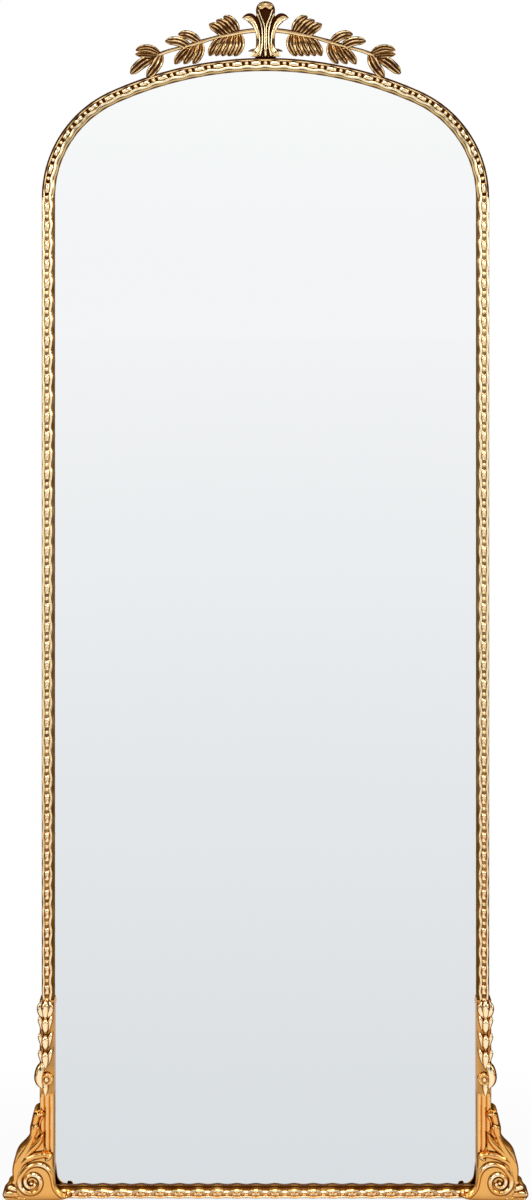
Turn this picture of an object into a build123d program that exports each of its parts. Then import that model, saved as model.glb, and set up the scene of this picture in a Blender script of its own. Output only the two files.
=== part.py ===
from build123d import *
import os
from math import asin, cos, degrees, pi, radians, sin, sqrt

os.makedirs("parts", exist_ok=True)

# An arched wall mirror in a slim cast frame with a crown and scrolled feet.
# Millimetres. +X is the viewer's right, +Y points to the wall, +Z is up.
# The origin is on the middle line, under the feet, half-way through the depth.

# Outline of the frame
frame_width = 646.0
frame_height = 1648.0
crown_radius = 542.0
shoulder_radius = 168.0
face_width = 18.0
rail_face_width = 15.0
rail_bottom_z = 1.5

# Depths from the wall forward
overall_depth = 50.0
bumper_thickness = 7.0
moulding_depth = 28.0
relief_depth = 3.0
lip_thickness = 12.0

# Rebate, pane and what holds it
flange_width = 11.0
rail_flange_width = 6.5
glass_clearance = 1.0
glass_thickness = 4.0
tape_thickness = 1.0
tape_width = 3.0
setting_block_height = 3.0
setting_block_length = 60.0
setting_block_spread = 320.0
board_thickness = 5.0

# Beads of the moulding
bead_pitch = 27.5
bead_length = 14.0
bead_width = 7.4
bead_slope = 2.2
rim_width = 3.0
rail_bead_length = 556.0
rail_bead_narrowing = 1.4

# Reeded pilasters at the foot of the stiles
pilaster_bottom_z = 69.0
reeds_top_z = 150.0
pilaster_top_z = 288.0
pilaster_widening = 3.0
reed_count = 3
reed_pitch = 7.0

# Husk drops and rosettes
husk_count = 3
husk_top_z = 264.0
husk_pitch = 29.0
husk_length = 34.0
husk_depth = 7.5
husk_half_width = 5.2
lip_drop = 25.0
lip_reach = 8.2
lip_half_width = 3.8
lip_depth = 5.0
leaf_overlap = 2.0
curl_reach = 17.0
curl_rise = 16.0
curl_fall = 4.0
curl_outer_bulge = 6.5
curl_inner_bulge = 2.5
rosette_z = 175.0
rosette_radius = 8.7
rosette_petals = 8
rosette_height = 5.0
rosette_chamfer = 3.0
rosette_button_radius = 3.6
rosette_button_height = 2.5
tail_length = 22.0
tail_half_width = 4.6
leaf_edge = 0.35
leaf_shoulders = (0.3, 0.65)

# Scrolled feet, measured outward from the frame's outer edge
foot_outreach = 57.0
foot_plate_depth = 8.0
volute_outward = 14.0
volute_z = 27.2
volute_start_radius = 10.0
volute_step = 3.0
volute_quarters = 6
volute_turned = 180.0
ridge_base = 6.0
ridge_height = 5.0
eye_radius = 6.0
eye_sides = 12
eye_chamfer = 2.5

# Crown
plume_height = 82.0
plume_front_y = -8.0
plume_back_y = 2.0
plume_relief = 6.0
knob_radius = 11.5
knob_sides = 12
knob_up = 69.0
knob_chamfer = 3.5
boss_width = 14.0
boss_height = 26.0
boss_bottom = 10.0
spray_back_y = -4.0
stem_radius = 2.75
stem_sides = 8
stem_y = -5.0
seat_gap = 0.1

# Plates, clips and screws behind
plate_thickness = 2.0
plate_width = 8.0
splice_length = 70.0
corner_length = 60.0
corner_arm_width = 4.5
screw_sides = 6
screw_radius = 1.6
screw_clearance = 0.1
screw_length = 10.0
screw_head_radius = 3.0
screw_head_height = 1.6
clip_thickness = 1.2
clip_width = 14.0
clip_reach = 12.0
clip_setback = 2.0
clips_each_side = 4
lowest_clip_z = 260.0
highest_clip_drop = 65.0
arch_clips = 4
foot_plate_height = 8.0
foot_plate_reach = 30.0
plate_edge = 1.0
pad_width = 16.0
pad_length = 20.0
upper_pad_drop = 100.0

# Hangers
hanger_drop = 116.0
strap_thickness = 1.0
strap_width = 9.0
strap_length = 58.0
strap_screw_pitch = 19.0
strap_screw_top = 32.0
strap_step = 1.0
ring_wire_radius = 1.75
ring_fit = 0.05
ring_width = 24.0
ring_height = 24.0

# Values that follow from the sizes above
half_width = frame_width / 2
wall_y = overall_depth / 2
back_y = wall_y - bumper_thickness
crest_y = back_y - moulding_depth
floor_y = crest_y + relief_depth
lip_y = floor_y + lip_thickness
glass_front_y = lip_y + tape_thickness
glass_back_y = glass_front_y + glass_thickness
board_back_y = glass_back_y + board_thickness
crown_centre_z = frame_height - crown_radius
shoulder_centre_x = half_width - shoulder_radius
join_angle = degrees(asin(shoulder_centre_x / (crown_radius - shoulder_radius)))
spring_z = crown_centre_z + sqrt((crown_radius - shoulder_radius) ** 2 - shoulder_centre_x**2)
glass_inset = flange_width + glass_clearance
glass_bottom_z = rail_bottom_z + rail_flange_width + setting_block_height
hanger_z = spring_z - hanger_drop
pilaster_outer_x = half_width + pilaster_widening
pilaster_centre_x = (pilaster_outer_x + half_width - face_width) / 2
foot_front_y = floor_y - foot_plate_depth
eye_front_y = -wall_y


def front(depth_y):
    """Drawing plane that faces the viewer, at a given depth."""
    return Plane.XZ.offset(-depth_y)


def slab(x_range, z_range, y_range, mode=Mode.ADD):
    """Straight-sided block of the open part, from its back forward."""
    with BuildSketch(front(max(y_range))) as outline:
        with Locations((sum(x_range) / 2, sum(z_range) / 2)):
            Rectangle(max(x_range) - min(x_range), max(z_range) - min(z_range))
    extrude(outline.sketch, amount=max(y_range) - min(y_range), mode=mode)


def arched_area(inset, bottom_z, mode=Mode.ADD):
    """Area under the three-centred arch, set in from the frame's outer edge."""
    half = half_width - inset
    shoulder_sweep = 90 - join_angle
    with BuildLine() as outline:
        CenterArc((-shoulder_centre_x, spring_z), shoulder_radius - inset, 180, -shoulder_sweep)
        CenterArc((0, crown_centre_z), crown_radius - inset, 90 + join_angle, -2 * join_angle)
        CenterArc((shoulder_centre_x, spring_z), shoulder_radius - inset, shoulder_sweep, -shoulder_sweep)
        if bottom_z < spring_z:
            Line((half, spring_z), (half, bottom_z))
            Line((-half, bottom_z), (-half, spring_z))
        Line((half, bottom_z), (-half, bottom_z))
    make_face(outline.edges(), mode=mode)


# Where the beads stand: each run of moulding gives a point for a place along it,
# counted in beads, and an inset from its outer edge.
stile_beads = round((spring_z - pilaster_top_z) / bead_pitch)
stile_pitch = (spring_z - pilaster_top_z) / stile_beads
rail_beads = round(rail_bead_length / bead_pitch)
rail_pitch = rail_bead_length / rail_beads
centre_radius = crown_radius - face_width / 2
corner_radius = shoulder_radius - face_width / 2
corner_walk = radians(90 - join_angle) * corner_radius
head_walk = 2 * (corner_walk + radians(join_angle) * centre_radius)
head_beads = round(head_walk / bead_pitch)


def stile_point(place, inset):
    return (-half_width + inset, pilaster_top_z + place * stile_pitch)


def rail_point(place, inset):
    return (place * rail_pitch - rail_bead_length / 2, rail_bottom_z + inset)


def head_point(place, inset):
    if place > head_beads / 2:
        x, z = head_point(head_beads - place, inset)
        return (-x, z)
    walk = place * head_walk / head_beads
    if walk < corner_walk:
        angle = pi - walk / corner_radius
        radius = shoulder_radius - inset
        return (radius * cos(angle) - shoulder_centre_x, spring_z + radius * sin(angle))
    angle = pi / 2 + radians(join_angle) - (walk - corner_walk) / centre_radius
    radius = crown_radius - inset
    return (radius * cos(angle), crown_centre_z + radius * sin(angle))


def beads_along(point, beads, face, width):
    """Four-sided barrel beads that stand on the sunk floor of the open part."""
    for bead in range(beads):
        x, z = point(bead + 0.5, face / 2)
        before_x, before_z = point(bead + 0.25, face / 2)
        along = (x - before_x, 0, z - before_z)
        with Locations(Plane(origin=(x, floor_y, z), x_dir=along, z_dir=(0, -1, 0))):
            Wedge(
                bead_length,
                relief_depth,
                width,
                bead_slope,
                bead_slope,
                bead_length - bead_slope,
                width - bead_slope,
                rotation=(90, 0, 0),
                align=(Align.CENTER, Align.MIN, Align.CENTER),
            )


def screw_holes(places, depth):
    """Blind holes from the castings' back, for screws at the given places."""
    for x, z in places:
        with BuildSketch(front(back_y)) as hole:
            with Locations((x, z)):
                RegularPolygon(screw_radius + screw_clearance, screw_sides)
        extrude(hole.sketch, amount=depth, mode=Mode.SUBTRACT)


def through_holes(places, near_y, far_y):
    """Clearance holes through a plate."""
    for x, z in places:
        with BuildSketch(front(far_y)) as hole:
            with Locations((x, z)):
                RegularPolygon(screw_radius + screw_clearance, screw_sides)
        extrude(hole.sketch, amount=far_y - near_y, mode=Mode.SUBTRACT)


def screws(places, seat_y):
    """Cheese-head screws, heads on a plate's back and shanks running forward."""
    for x, z in places:
        with BuildSketch(front(seat_y)) as shank:
            with Locations((x, z)):
                RegularPolygon(screw_radius, screw_sides)
        extrude(shank.sketch, amount=screw_length)
        with BuildSketch(front(seat_y + screw_head_height)) as head:
            with Locations((x, z)):
                RegularPolygon(screw_head_radius, screw_sides)
        extrude(head.sketch, amount=screw_head_height)


def both_sides(places):
    return places + [(-x, z) for x, z in places]


# Places of the screws
stile_back_x = half_width - flange_width / 2
splice_screws = both_sides([(-stile_back_x, spring_z - splice_length / 4)])
corner_screws = both_sides([(-stile_back_x, rail_bottom_z + corner_length * 0.8)])
hanger_screw_zs = [hanger_z - strap_screw_top, hanger_z - strap_screw_top - strap_screw_pitch]
strap_screws = [(-stile_back_x, z) for z in hanger_screw_zs]

# Head: the arched casting
with BuildPart() as head_moulding:
    with BuildSketch(front(lip_y)) as lip:
        arched_area(0, spring_z)
        arched_area(face_width, spring_z, mode=Mode.SUBTRACT)
    extrude(lip.sketch, amount=lip_y - crest_y)
    with BuildSketch(front(back_y)) as flange:
        arched_area(0, spring_z)
        arched_area(flange_width, spring_z, mode=Mode.SUBTRACT)
    extrude(flange.sketch, amount=back_y - lip_y)
    with BuildSketch(front(floor_y)) as channel:
        arched_area(rim_width, spring_z)
        arched_area(face_width - rim_width, spring_z, mode=Mode.SUBTRACT)
    extrude(channel.sketch, amount=relief_depth, mode=Mode.SUBTRACT)
    beads_along(head_point, head_beads, face_width, bead_width)
head_moulding.part.label = "head_moulding"
export_step(head_moulding.part, "parts/head_moulding.step")

# Left stile: rebated section, reeded pilaster, run of beads
with BuildPart() as left_stile:
    with BuildSketch(Plane.XY.offset(rail_bottom_z)):
        with BuildLine():
            Polyline(
                (-half_width, back_y),
                (-half_width, floor_y),
                (-half_width + face_width, floor_y),
                (-half_width + face_width, lip_y),
                (-half_width + flange_width, lip_y),
                (-half_width + flange_width, back_y),
                close=True,
            )
        make_face()
    extrude(amount=spring_z - rail_bottom_z)
    widening = (-pilaster_outer_x, -half_width)
    slab(widening, (pilaster_bottom_z, pilaster_top_z), (floor_y, back_y))
    panel = (-pilaster_outer_x, -half_width + face_width)
    slab(panel, (reeds_top_z, pilaster_top_z), (crest_y, floor_y))
    with BuildSketch(Plane.XY.offset(pilaster_bottom_z)):
        with Locations((-pilaster_centre_x, floor_y)):
            with GridLocations(reed_pitch, 1, reed_count, 1):
                Circle(relief_depth)
    extrude(amount=reeds_top_z - pilaster_bottom_z)
    for rim in ((0, rim_width), (face_width - rim_width, face_width)):
        slab((rim[0] - half_width, rim[1] - half_width), (pilaster_top_z, spring_z), (crest_y, floor_y))
    beads_along(stile_point, stile_beads, face_width, bead_width)
    screw_holes(strap_screws + [splice_screws[0], corner_screws[0]], screw_length)
left_stile.part.label = "left_stile"
export_step(left_stile.part, "parts/left_stile.step")

with BuildPart() as right_stile:
    mirror(left_stile.part, about=Plane.YZ)
right_stile.part.label = "right_stile"
export_step(right_stile.part, "parts/right_stile.step")

# Bottom rail between the stiles
with BuildPart() as bottom_rail:
    lip_half = half_width - face_width
    flange_half = half_width - flange_width
    lip_top_z = rail_bottom_z + rail_face_width
    flange_top_z = rail_bottom_z + rail_flange_width
    slab((-lip_half, lip_half), (rail_bottom_z, lip_top_z), (floor_y, lip_y))
    slab((-flange_half, flange_half), (rail_bottom_z, flange_top_z), (lip_y, back_y))
    rail_rim_width = rim_width - rail_bead_narrowing / 2
    for rim in ((rail_bottom_z, rail_bottom_z + rail_rim_width), (lip_top_z - rail_rim_width, lip_top_z)):
        slab((-rail_bead_length / 2, rail_bead_length / 2), rim, (crest_y, floor_y))
    beads_along(rail_point, rail_beads, rail_face_width, bead_width - rail_bead_narrowing)
bottom_rail.part.label = "bottom_rail"
export_step(bottom_rail.part, "parts/bottom_rail.step")


# Feet
def beside(outward, z):
    """Point at the left foot, measured outward from the frame's edge."""
    return (-half_width - outward, z)


def arc_chain(points):
    """Arcs through the points, two further points to each arc."""
    for start in range(0, len(points) - 2, 2):
        ThreePointArc(*points[start : start + 3])


def ridge(drawn_path, base_y, height=ridge_height):
    """Raised rib with sloping sides that follows a path, stood on a front plane."""
    path = front(base_y) * drawn_path
    with BuildSketch(Plane(origin=path @ 0, x_dir=(0, -1, 0), z_dir=path % 0)) as section:
        Polygon(
            (-1, -ridge_base / 2),
            (0, -ridge_base / 2),
            (height, 0),
            (0, ridge_base / 2),
            (-1, ridge_base / 2),
            align=None,
        )
    sweep(section.sketch, path=path)


with BuildPart() as left_foot:
    with BuildSketch(front(back_y)) as foot_outline:
        with BuildLine():
            arc_chain(
                [
                    beside(0.9, 131.6), beside(10.0, 128.8), beside(13.6, 119.0),
                    beside(17.2, 107.0), beside(17.1, 94.7),
                    beside(24.0, 80.5), beside(35.4, 69.3),
                    beside(41.5, 49.0), beside(42.0, 27.2),
                ]
            )
            Polyline(
                beside(42.0, 27.2), beside(47.5, 24.5), beside(49.0, 18.5), beside(foot_outreach, 12.0),
                beside(52.0, 2.5), beside(46.0, 0.0), beside(-22.0, 0.0), beside(-33.0, 1.8),
                beside(-41.5, 7.5), beside(-43.8, 14.0), beside(-38.5, 18.0), beside(-34.0, 14.5),
                beside(-33.8, 11.0),
            )
            ThreePointArc(beside(-33.8, 11.0), beside(-24.0, 16.0), beside(-19.6, 31.0))
            Polyline(
                beside(-19.6, 31.0), beside(-18.8, 47.0), beside(-14.8, 68.5), beside(-9.5, 70.5),
                beside(-3.5, 79.0), beside(-2.5, 98.5), beside(3.5, 103.0), beside(1.5, 110.0),
                beside(-5.0, 126.0), beside(0.9, 131.6),
            )
        make_face()
    extrude(foot_outline.sketch, amount=back_y - foot_front_y)
    slab((-pilaster_outer_x, 0), (pilaster_bottom_z, frame_height), (crest_y, back_y), mode=Mode.SUBTRACT)
    slab((-half_width, 0), (0, pilaster_bottom_z), (floor_y, back_y), mode=Mode.SUBTRACT)
    eye_x, eye_z = beside(volute_outward, volute_z)
    with BuildLine(mode=Mode.PRIVATE) as scroll:
        angle = 90.0 + volute_turned
        radius = volute_start_radius
        centre_x = eye_x
        centre_z = eye_z
        for quarter in range(volute_quarters):
            turn = CenterArc((centre_x, centre_z), radius, angle, -90)
            angle -= 90
            centre_x -= volute_step * cos(radians(angle))
            centre_z -= volute_step * sin(radians(angle))
            radius += volute_step
        over = TangentArc(turn @ 1, beside(-3.5, 53.6), tangent=turn % 1)
        down = TangentArc(over @ 1, beside(-16.0, 38.0), tangent=over % 1)
        side = TangentArc(down @ 1, beside(-18.0, 21.0), tangent=down % 1)
        toe = TangentArc(side @ 1, beside(-29.0, 7.5), tangent=side % 1)
        hook = TangentArc(toe @ 1, beside(-40.5, 12.5), tangent=toe % 1)
    ridge(scroll.line, foot_front_y)
    with BuildSketch(front(foot_front_y)) as eye:
        with Locations((eye_x, eye_z)):
            RegularPolygon(eye_radius, eye_sides)
    extrude(eye.sketch, amount=foot_front_y - eye_front_y)
    chamfer(faces().sort_by(Axis.Y)[0].edges(), eye_chamfer)
    for rib in [
        [(-6.0, 66.5), (11.0, 64.5), (29.0, 53.0)],
        [(36.5, 50.0), (29.0, 72.0), (13.5, 92.0), (9.5, 105.0), (6.0, 124.0)],
        [(24.0, 68.0), (8.0, 82.0), (4.0, 98.0)],
        [(37.0, 12.0), (45.0, 9.5), (52.5, 10.5)],
    ]:
        with BuildLine(mode=Mode.PRIVATE) as rib_path:
            arc_chain([beside(outward, z) for outward, z in rib])
        ridge(rib_path.line, foot_front_y)
left_foot.part.label = "left_foot"
export_step(left_foot.part, "parts/left_foot.step")

with BuildPart() as right_foot:
    mirror(left_foot.part, about=Plane.YZ)
right_foot.part.label = "right_foot"
export_step(right_foot.part, "parts/right_foot.step")


# Husk drops and rosettes
def leaf(root, tip, left_bulge, right_bulge):
    """Six-sided leaf of the open sketch, with two shoulders to each side of its axis."""
    start = Vector(*root)
    along = Vector(*tip) - start
    side = Vector(-along.Y, along.X).normalized()
    left = [start + along * share + side * left_bulge for share in leaf_shoulders]
    right = [start + along * share - side * right_bulge for share in reversed(leaf_shoulders)]
    Polygon(start, *left, start + along, *right, align=None)


def blade(root, tip, left_bulge, right_bulge, back_y, height):
    """Leaf with a sharp midrib, whose front slopes down from there to its two edges."""
    start = Vector(*root)
    along = (Vector(*tip) - start).normalized()
    edge = height * leaf_edge
    with BuildSketch(front(back_y), mode=Mode.PRIVATE) as shape:
        leaf(root, tip, left_bulge, right_bulge)
    roof_plane = Plane(
        origin=(start.X, back_y, start.Y),
        x_dir=(-along.Y, 0, along.X),
        z_dir=(along.X, 0, along.Y),
    )
    with BuildSketch(roof_plane, mode=Mode.PRIVATE) as roof:
        Polygon(
            (-right_bulge, 0),
            (left_bulge, 0),
            (left_bulge, edge),
            (0, height),
            (-right_bulge, edge),
            align=None,
        )
    block = extrude(shape.sketch, amount=height, mode=Mode.PRIVATE)
    length = (Vector(*tip) - start).length
    add(block & extrude(roof.sketch, amount=length, mode=Mode.PRIVATE))


with BuildPart() as left_drop:
    axis_x = -pilaster_centre_x
    for husk in range(husk_count):
        top_z = husk_top_z - husk * husk_pitch
        bud = husk_half_width
        blade((axis_x, top_z), (axis_x, top_z - husk_length), bud, bud, crest_y, husk_depth)
        for side in (-1, 1):
            tip = (axis_x + side * lip_reach, top_z - lip_drop)
            blade((axis_x + side, top_z - leaf_overlap), tip, lip_half_width, lip_half_width, crest_y, lip_depth)
    for side in (-1, 0, 1):
        root = (axis_x + side, husk_top_z - 3 * leaf_overlap)
        tip = (axis_x + side * lip_reach, pilaster_top_z)
        blade(root, tip, lip_half_width, lip_half_width, crest_y, husk_depth)
    curl_root = (axis_x, rosette_z + curl_rise)
    curl_tip = (axis_x - curl_reach, rosette_z - curl_fall)
    blade(curl_root, curl_tip, curl_inner_bulge, curl_outer_bulge, crest_y, lip_depth)
    blade((axis_x, rosette_z), (axis_x, rosette_z - tail_length), tail_half_width, tail_half_width, crest_y, lip_depth)
    with BuildSketch(front(crest_y)) as rosette_seat:
        with Locations((axis_x, rosette_z)):
            RegularPolygon(rosette_radius, rosette_petals)
    extrude(rosette_seat.sketch, amount=overall_depth, mode=Mode.SUBTRACT)
left_drop.part.label = "left_drop"
export_step(left_drop.part, "parts/left_drop.step")

with BuildPart() as right_drop:
    mirror(left_drop.part, about=Plane.YZ)
right_drop.part.label = "right_drop"
export_step(right_drop.part, "parts/right_drop.step")

with BuildPart() as left_rosette:
    extrude(rosette_seat.sketch, amount=rosette_height)
    chamfer(faces().sort_by(Axis.Y)[0].edges(), rosette_chamfer)
    with BuildSketch(front(crest_y - rosette_height)) as button:
        with Locations((axis_x, rosette_z)):
            RegularPolygon(rosette_button_radius, rosette_petals)
    extrude(button.sketch, amount=rosette_button_height)
    chamfer(faces().sort_by(Axis.Y)[0].edges(), rosette_button_height / 2)
left_rosette.part.label = "left_rosette"
export_step(left_rosette.part, "parts/left_rosette.step")

with BuildPart() as right_rosette:
    mirror(left_rosette.part, about=Plane.YZ)
right_rosette.part.label = "right_rosette"
export_step(right_rosette.part, "parts/right_rosette.step")


# Crown: places are given across from the middle and up from the arch's top
def above(across, up):
    return (across, frame_height + up)


with BuildPart() as crown_plume:
    with BuildSketch(front(plume_back_y)) as plume_outline:
        with BuildLine() as half:
            arc_chain(
                [
                    above(0, plume_height), above(9.8, 78.0), above(13.0, 68.0),
                    above(12.3, 65.5), above(13.0, 63.0),
                    above(25.0, 64.0), above(33.7, 56.0),
                    above(20.0, 47.0), above(13.4, 26.0),
                    above(15.6, 14.5), above(24.5, 9.0),
                ]
            )
            Polyline(above(24.5, 9.0), above(22.0, 4.0), above(17.5, 0.3), above(0, 0.3))
            mirror(about=Plane.YZ)
        make_face()
    extrude(plume_outline.sketch, amount=plume_back_y - plume_front_y)
    slab(
        (-boss_width / 2, boss_width / 2),
        (frame_height + boss_bottom, frame_height + boss_bottom + boss_height),
        (plume_back_y, back_y),
    )
    with BuildSketch(front(plume_front_y)) as knob:
        with Locations(above(0, knob_up)):
            RegularPolygon(knob_radius, knob_sides)
    extrude(knob.sketch, amount=plume_relief)
    chamfer(faces().sort_by(Axis.Y)[0].edges(), knob_chamfer)
    for side in (-1, 1):
        for root, tip, outer, inner in [
            ((3.0, 4.0), (9.0, 62.0), 2.2, 4.2),
            ((8.5, 8.0), (21.0, 61.5), 2.0, 5.5),
            ((11.0, 30.0), (32.0, 57.0), 1.0, 9.0),
            ((6.0, 14.0), (23.0, 8.5), 3.5, 2.0),
        ]:
            bulges = (inner, outer) if side > 0 else (outer, inner)
            start = above(side * root[0], root[1])
            end = above(side * tip[0], tip[1])
            blade(start, end, *bulges, plume_front_y, plume_relief)
    blade(above(0, 24.0), above(0, 1.5), 4.0, 4.0, plume_front_y, plume_relief + 2)
crown_plume.part.label = "crown_plume"
export_step(crown_plume.part, "parts/crown_plume.step")

def fan(roots, tips, count, half_width, bow, heights):
    """Leaves side by side, spaced evenly from the first root and tip to the last.

    The bow moves their width to the left of their way from root to tip.
    """
    for number in range(count):
        share = number / max(count - 1, 1)
        root = Vector(*roots[0]) * (1 - share) + Vector(*roots[1]) * share
        tip = Vector(*tips[0]) * (1 - share) + Vector(*tips[1]) * share
        height = heights[0] * (1 - share) + heights[1] * share
        start = above(root.X, root.Y)
        end = above(tip.X, tip.Y)
        blade(start, end, half_width + bow, half_width - bow, spray_back_y, height)


# Spray of laurel: a stem with three clusters of leaves, a fan above it and one below
with BuildPart() as left_spray:
    with BuildLine(front(stem_y)) as stem_path:
        Polyline(above(-12.0, 40.0), above(-42.0, 35.0), above(-95.0, 23.0), above(-153.0, 5.5))
    with BuildSketch(Plane(origin=stem_path.line @ 0, z_dir=stem_path.line % 0)) as stem_section:
        RegularPolygon(stem_radius, stem_sides)
    sweep(stem_section.sketch, path=stem_path.line, transition=Transition.RIGHT)
    fan([(-40.0, 36.5), (-56.0, 30.5)], [(-60.5, 60.0), (-81.5, 49.0)], 3, 5.4, -2.0, (9.0, 6.0))
    fan([(-38.5, 35.0), (-62.0, 29.5)], [(-44.5, 2.5), (-81.0, 2.5)], 4, 5.6, -1.5, (9.0, 6.0))
    fan([(-94.0, 21.5), (-107.0, 13.5)], [(-126.0, 35.5), (-145.0, 25.0)], 2, 6.4, -4.0, (8.5, 6.5))
    fan([(-93.0, 22.0), (-109.0, 15.0)], [(-104.0, -9.0), (-131.0, -9.5)], 3, 6.0, -1.0, (8.5, 6.0))
    fan([(-152.0, 6.0), (-157.0, 3.5)], [(-187.5, 11.5), (-188.0, 6.0)], 2, 4.8, -3.0, (8.5, 6.5))
    fan([(-150.0, 5.5), (-161.0, 2.0)], [(-171.0, -29.0), (-195.0, -23.5)], 2, 7.6, -0.5, (8.5, 6.5))
    with BuildSketch(front(back_y)) as arch_clearance:
        arched_area(-seat_gap, spring_z)
    extrude(arch_clearance.sketch, amount=overall_depth, mode=Mode.SUBTRACT)
    extrude(plume_outline.sketch, amount=plume_back_y - plume_front_y, mode=Mode.SUBTRACT)
left_spray.part.label = "left_spray"
export_step(left_spray.part, "parts/left_spray.step")

with BuildPart() as right_spray:
    mirror(left_spray.part, about=Plane.YZ)
right_spray.part.label = "right_spray"
export_step(right_spray.part, "parts/right_spray.step")

# Pane and what carries it
with BuildPart() as mirror_glass:
    with BuildSketch(front(glass_back_y)) as pane:
        arched_area(glass_inset, glass_bottom_z)
    extrude(pane.sketch, amount=glass_thickness)
mirror_glass.part.label = "mirror_glass"
export_step(mirror_glass.part, "parts/mirror_glass.step")

with BuildPart() as glass_tape:
    tape_outer = face_width - tape_width
    tape_bottom_z = lip_top_z - tape_width
    with BuildSketch(front(glass_front_y)) as tape:
        arched_area(tape_outer, tape_bottom_z)
        arched_area(face_width, lip_top_z, mode=Mode.SUBTRACT)
    extrude(tape.sketch, amount=tape_thickness)
glass_tape.part.label = "glass_tape"
export_step(glass_tape.part, "parts/glass_tape.step")

with BuildPart() as setting_blocks:
    for block_x in (-setting_block_spread / 2, setting_block_spread / 2):
        block_half = setting_block_length / 2
        slab(
            (block_x - block_half, block_x + block_half),
            (flange_top_z, glass_bottom_z),
            (glass_front_y, board_back_y),
        )
setting_blocks.part.label = "setting_blocks"
export_step(setting_blocks.part, "parts/setting_blocks.step")

with BuildPart() as backing_board:
    with BuildSketch(front(board_back_y)) as board:
        arched_area(glass_inset, glass_bottom_z)
    extrude(board.sketch, amount=board_thickness)
backing_board.part.label = "backing_board"
export_step(backing_board.part, "parts/backing_board.step")

# Offset clips: flat on the flange, stepped down onto the board
with BuildPart() as backing_clips:
    step_inset = flange_width + clip_thickness
    clip_profile = [
        (clip_setback, back_y),
        (step_inset, back_y),
        (step_inset, board_back_y),
        (step_inset + clip_reach, board_back_y),
        (step_inset + clip_reach, board_back_y + clip_thickness),
        (step_inset + clip_thickness, board_back_y + clip_thickness),
        (step_inset + clip_thickness, back_y + clip_thickness),
        (clip_setback, back_y + clip_thickness),
    ]
    clip_pitch = (spring_z - highest_clip_drop - lowest_clip_z) / (clips_each_side - 1)
    clip_seats = []
    for clip_number in range(clips_each_side):
        seat_z = lowest_clip_z + clip_number * clip_pitch
        clip_seats += [(-half_width, seat_z, 0), (half_width, seat_z, 180)]
    for clip_number in range(arch_clips):
        turn = join_angle * (2 * clip_number / (arch_clips - 1) - 1)
        seat_x = crown_radius * sin(radians(turn))
        clip_seats.append((seat_x, crown_centre_z + crown_radius * cos(radians(turn)), 90 + turn))
    for seat_x, seat_z, turn in clip_seats:
        inward = Vector(cos(radians(turn)), 0, -sin(radians(turn)))
        along = Vector(sin(radians(turn)), 0, cos(radians(turn)))
        clip_plane = Plane(origin=Vector(seat_x, 0, seat_z) - along * (clip_width / 2), x_dir=inward, z_dir=along)
        flip = 1 if clip_plane.y_dir.Y > 0 else -1
        with BuildSketch(clip_plane) as clip:
            Polygon(*[(a, flip * b) for a, b in clip_profile], align=None)
        extrude(clip.sketch, amount=clip_width)
backing_clips.part.label = "backing_clips"
export_step(backing_clips.part, "parts/backing_clips.step")

# Plates across the joints
plate_back_y = back_y + plate_thickness
with BuildPart() as splice_plates:
    for side in (-1, 1):
        middle = side * stile_back_x
        slab(
            (middle - plate_width / 2, middle + plate_width / 2),
            (spring_z - splice_length / 2, spring_z + splice_length / 4),
            (back_y, plate_back_y),
        )
    through_holes(splice_screws, back_y, plate_back_y)
splice_plates.part.label = "splice_plates"
export_step(splice_plates.part, "parts/splice_plates.step")

with BuildPart() as corner_plates:
    arm_z = rail_bottom_z + rail_flange_width / 2
    for side in (-1, 1):
        middle = side * stile_back_x
        slab(
            (middle - plate_width / 2, middle + plate_width / 2),
            (arm_z - corner_arm_width / 2, rail_bottom_z + corner_length),
            (back_y, plate_back_y),
        )
        slab(
            (middle, side * (half_width - corner_length)),
            (arm_z - corner_arm_width / 2, arm_z + corner_arm_width / 2),
            (back_y, plate_back_y),
        )
    through_holes(corner_screws, back_y, plate_back_y)
corner_plates.part.label = "corner_plates"
export_step(corner_plates.part, "parts/corner_plates.step")

with BuildPart() as joint_screws:
    screws(splice_screws + corner_screws, plate_back_y)
joint_screws.part.label = "joint_screws"
export_step(joint_screws.part, "parts/joint_screws.step")

# Plates that tie the feet to the stiles, and the bracket behind the plume
with BuildPart() as foot_plates:
    for side in (-1, 1):
        slab(
            (side * (half_width - flange_width + plate_edge), side * (half_width + foot_plate_reach)),
            (pilaster_bottom_z - foot_plate_height / 2, pilaster_bottom_z + foot_plate_height / 2),
            (back_y, plate_back_y),
        )
foot_plates.part.label = "foot_plates"
export_step(foot_plates.part, "parts/foot_plates.step")

with BuildPart() as crown_bracket:
    slab(
        (-boss_width / 2, boss_width / 2),
        (frame_height - flange_width + plate_edge, frame_height + boss_bottom + boss_height),
        (back_y, plate_back_y),
    )
crown_bracket.part.label = "crown_bracket"
export_step(crown_bracket.part, "parts/crown_bracket.step")

with BuildPart() as wall_bumpers:
    for side in (-1, 1):
        lower_x = side * (half_width + volute_outward)
        slab(
            (lower_x - pad_width / 2, lower_x + pad_width / 2),
            (volute_z - pad_length / 2, volute_z + pad_length / 2),
            (back_y, wall_y),
        )
        upper_x = side * stile_back_x
        upper_pad_z = hanger_z - upper_pad_drop
        slab(
            (upper_x - plate_width / 2, upper_x + plate_width / 2),
            (upper_pad_z, upper_pad_z + pad_length),
            (back_y, wall_y),
        )
wall_bumpers.part.label = "wall_bumpers"
export_step(wall_bumpers.part, "parts/wall_bumpers.step")

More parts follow.
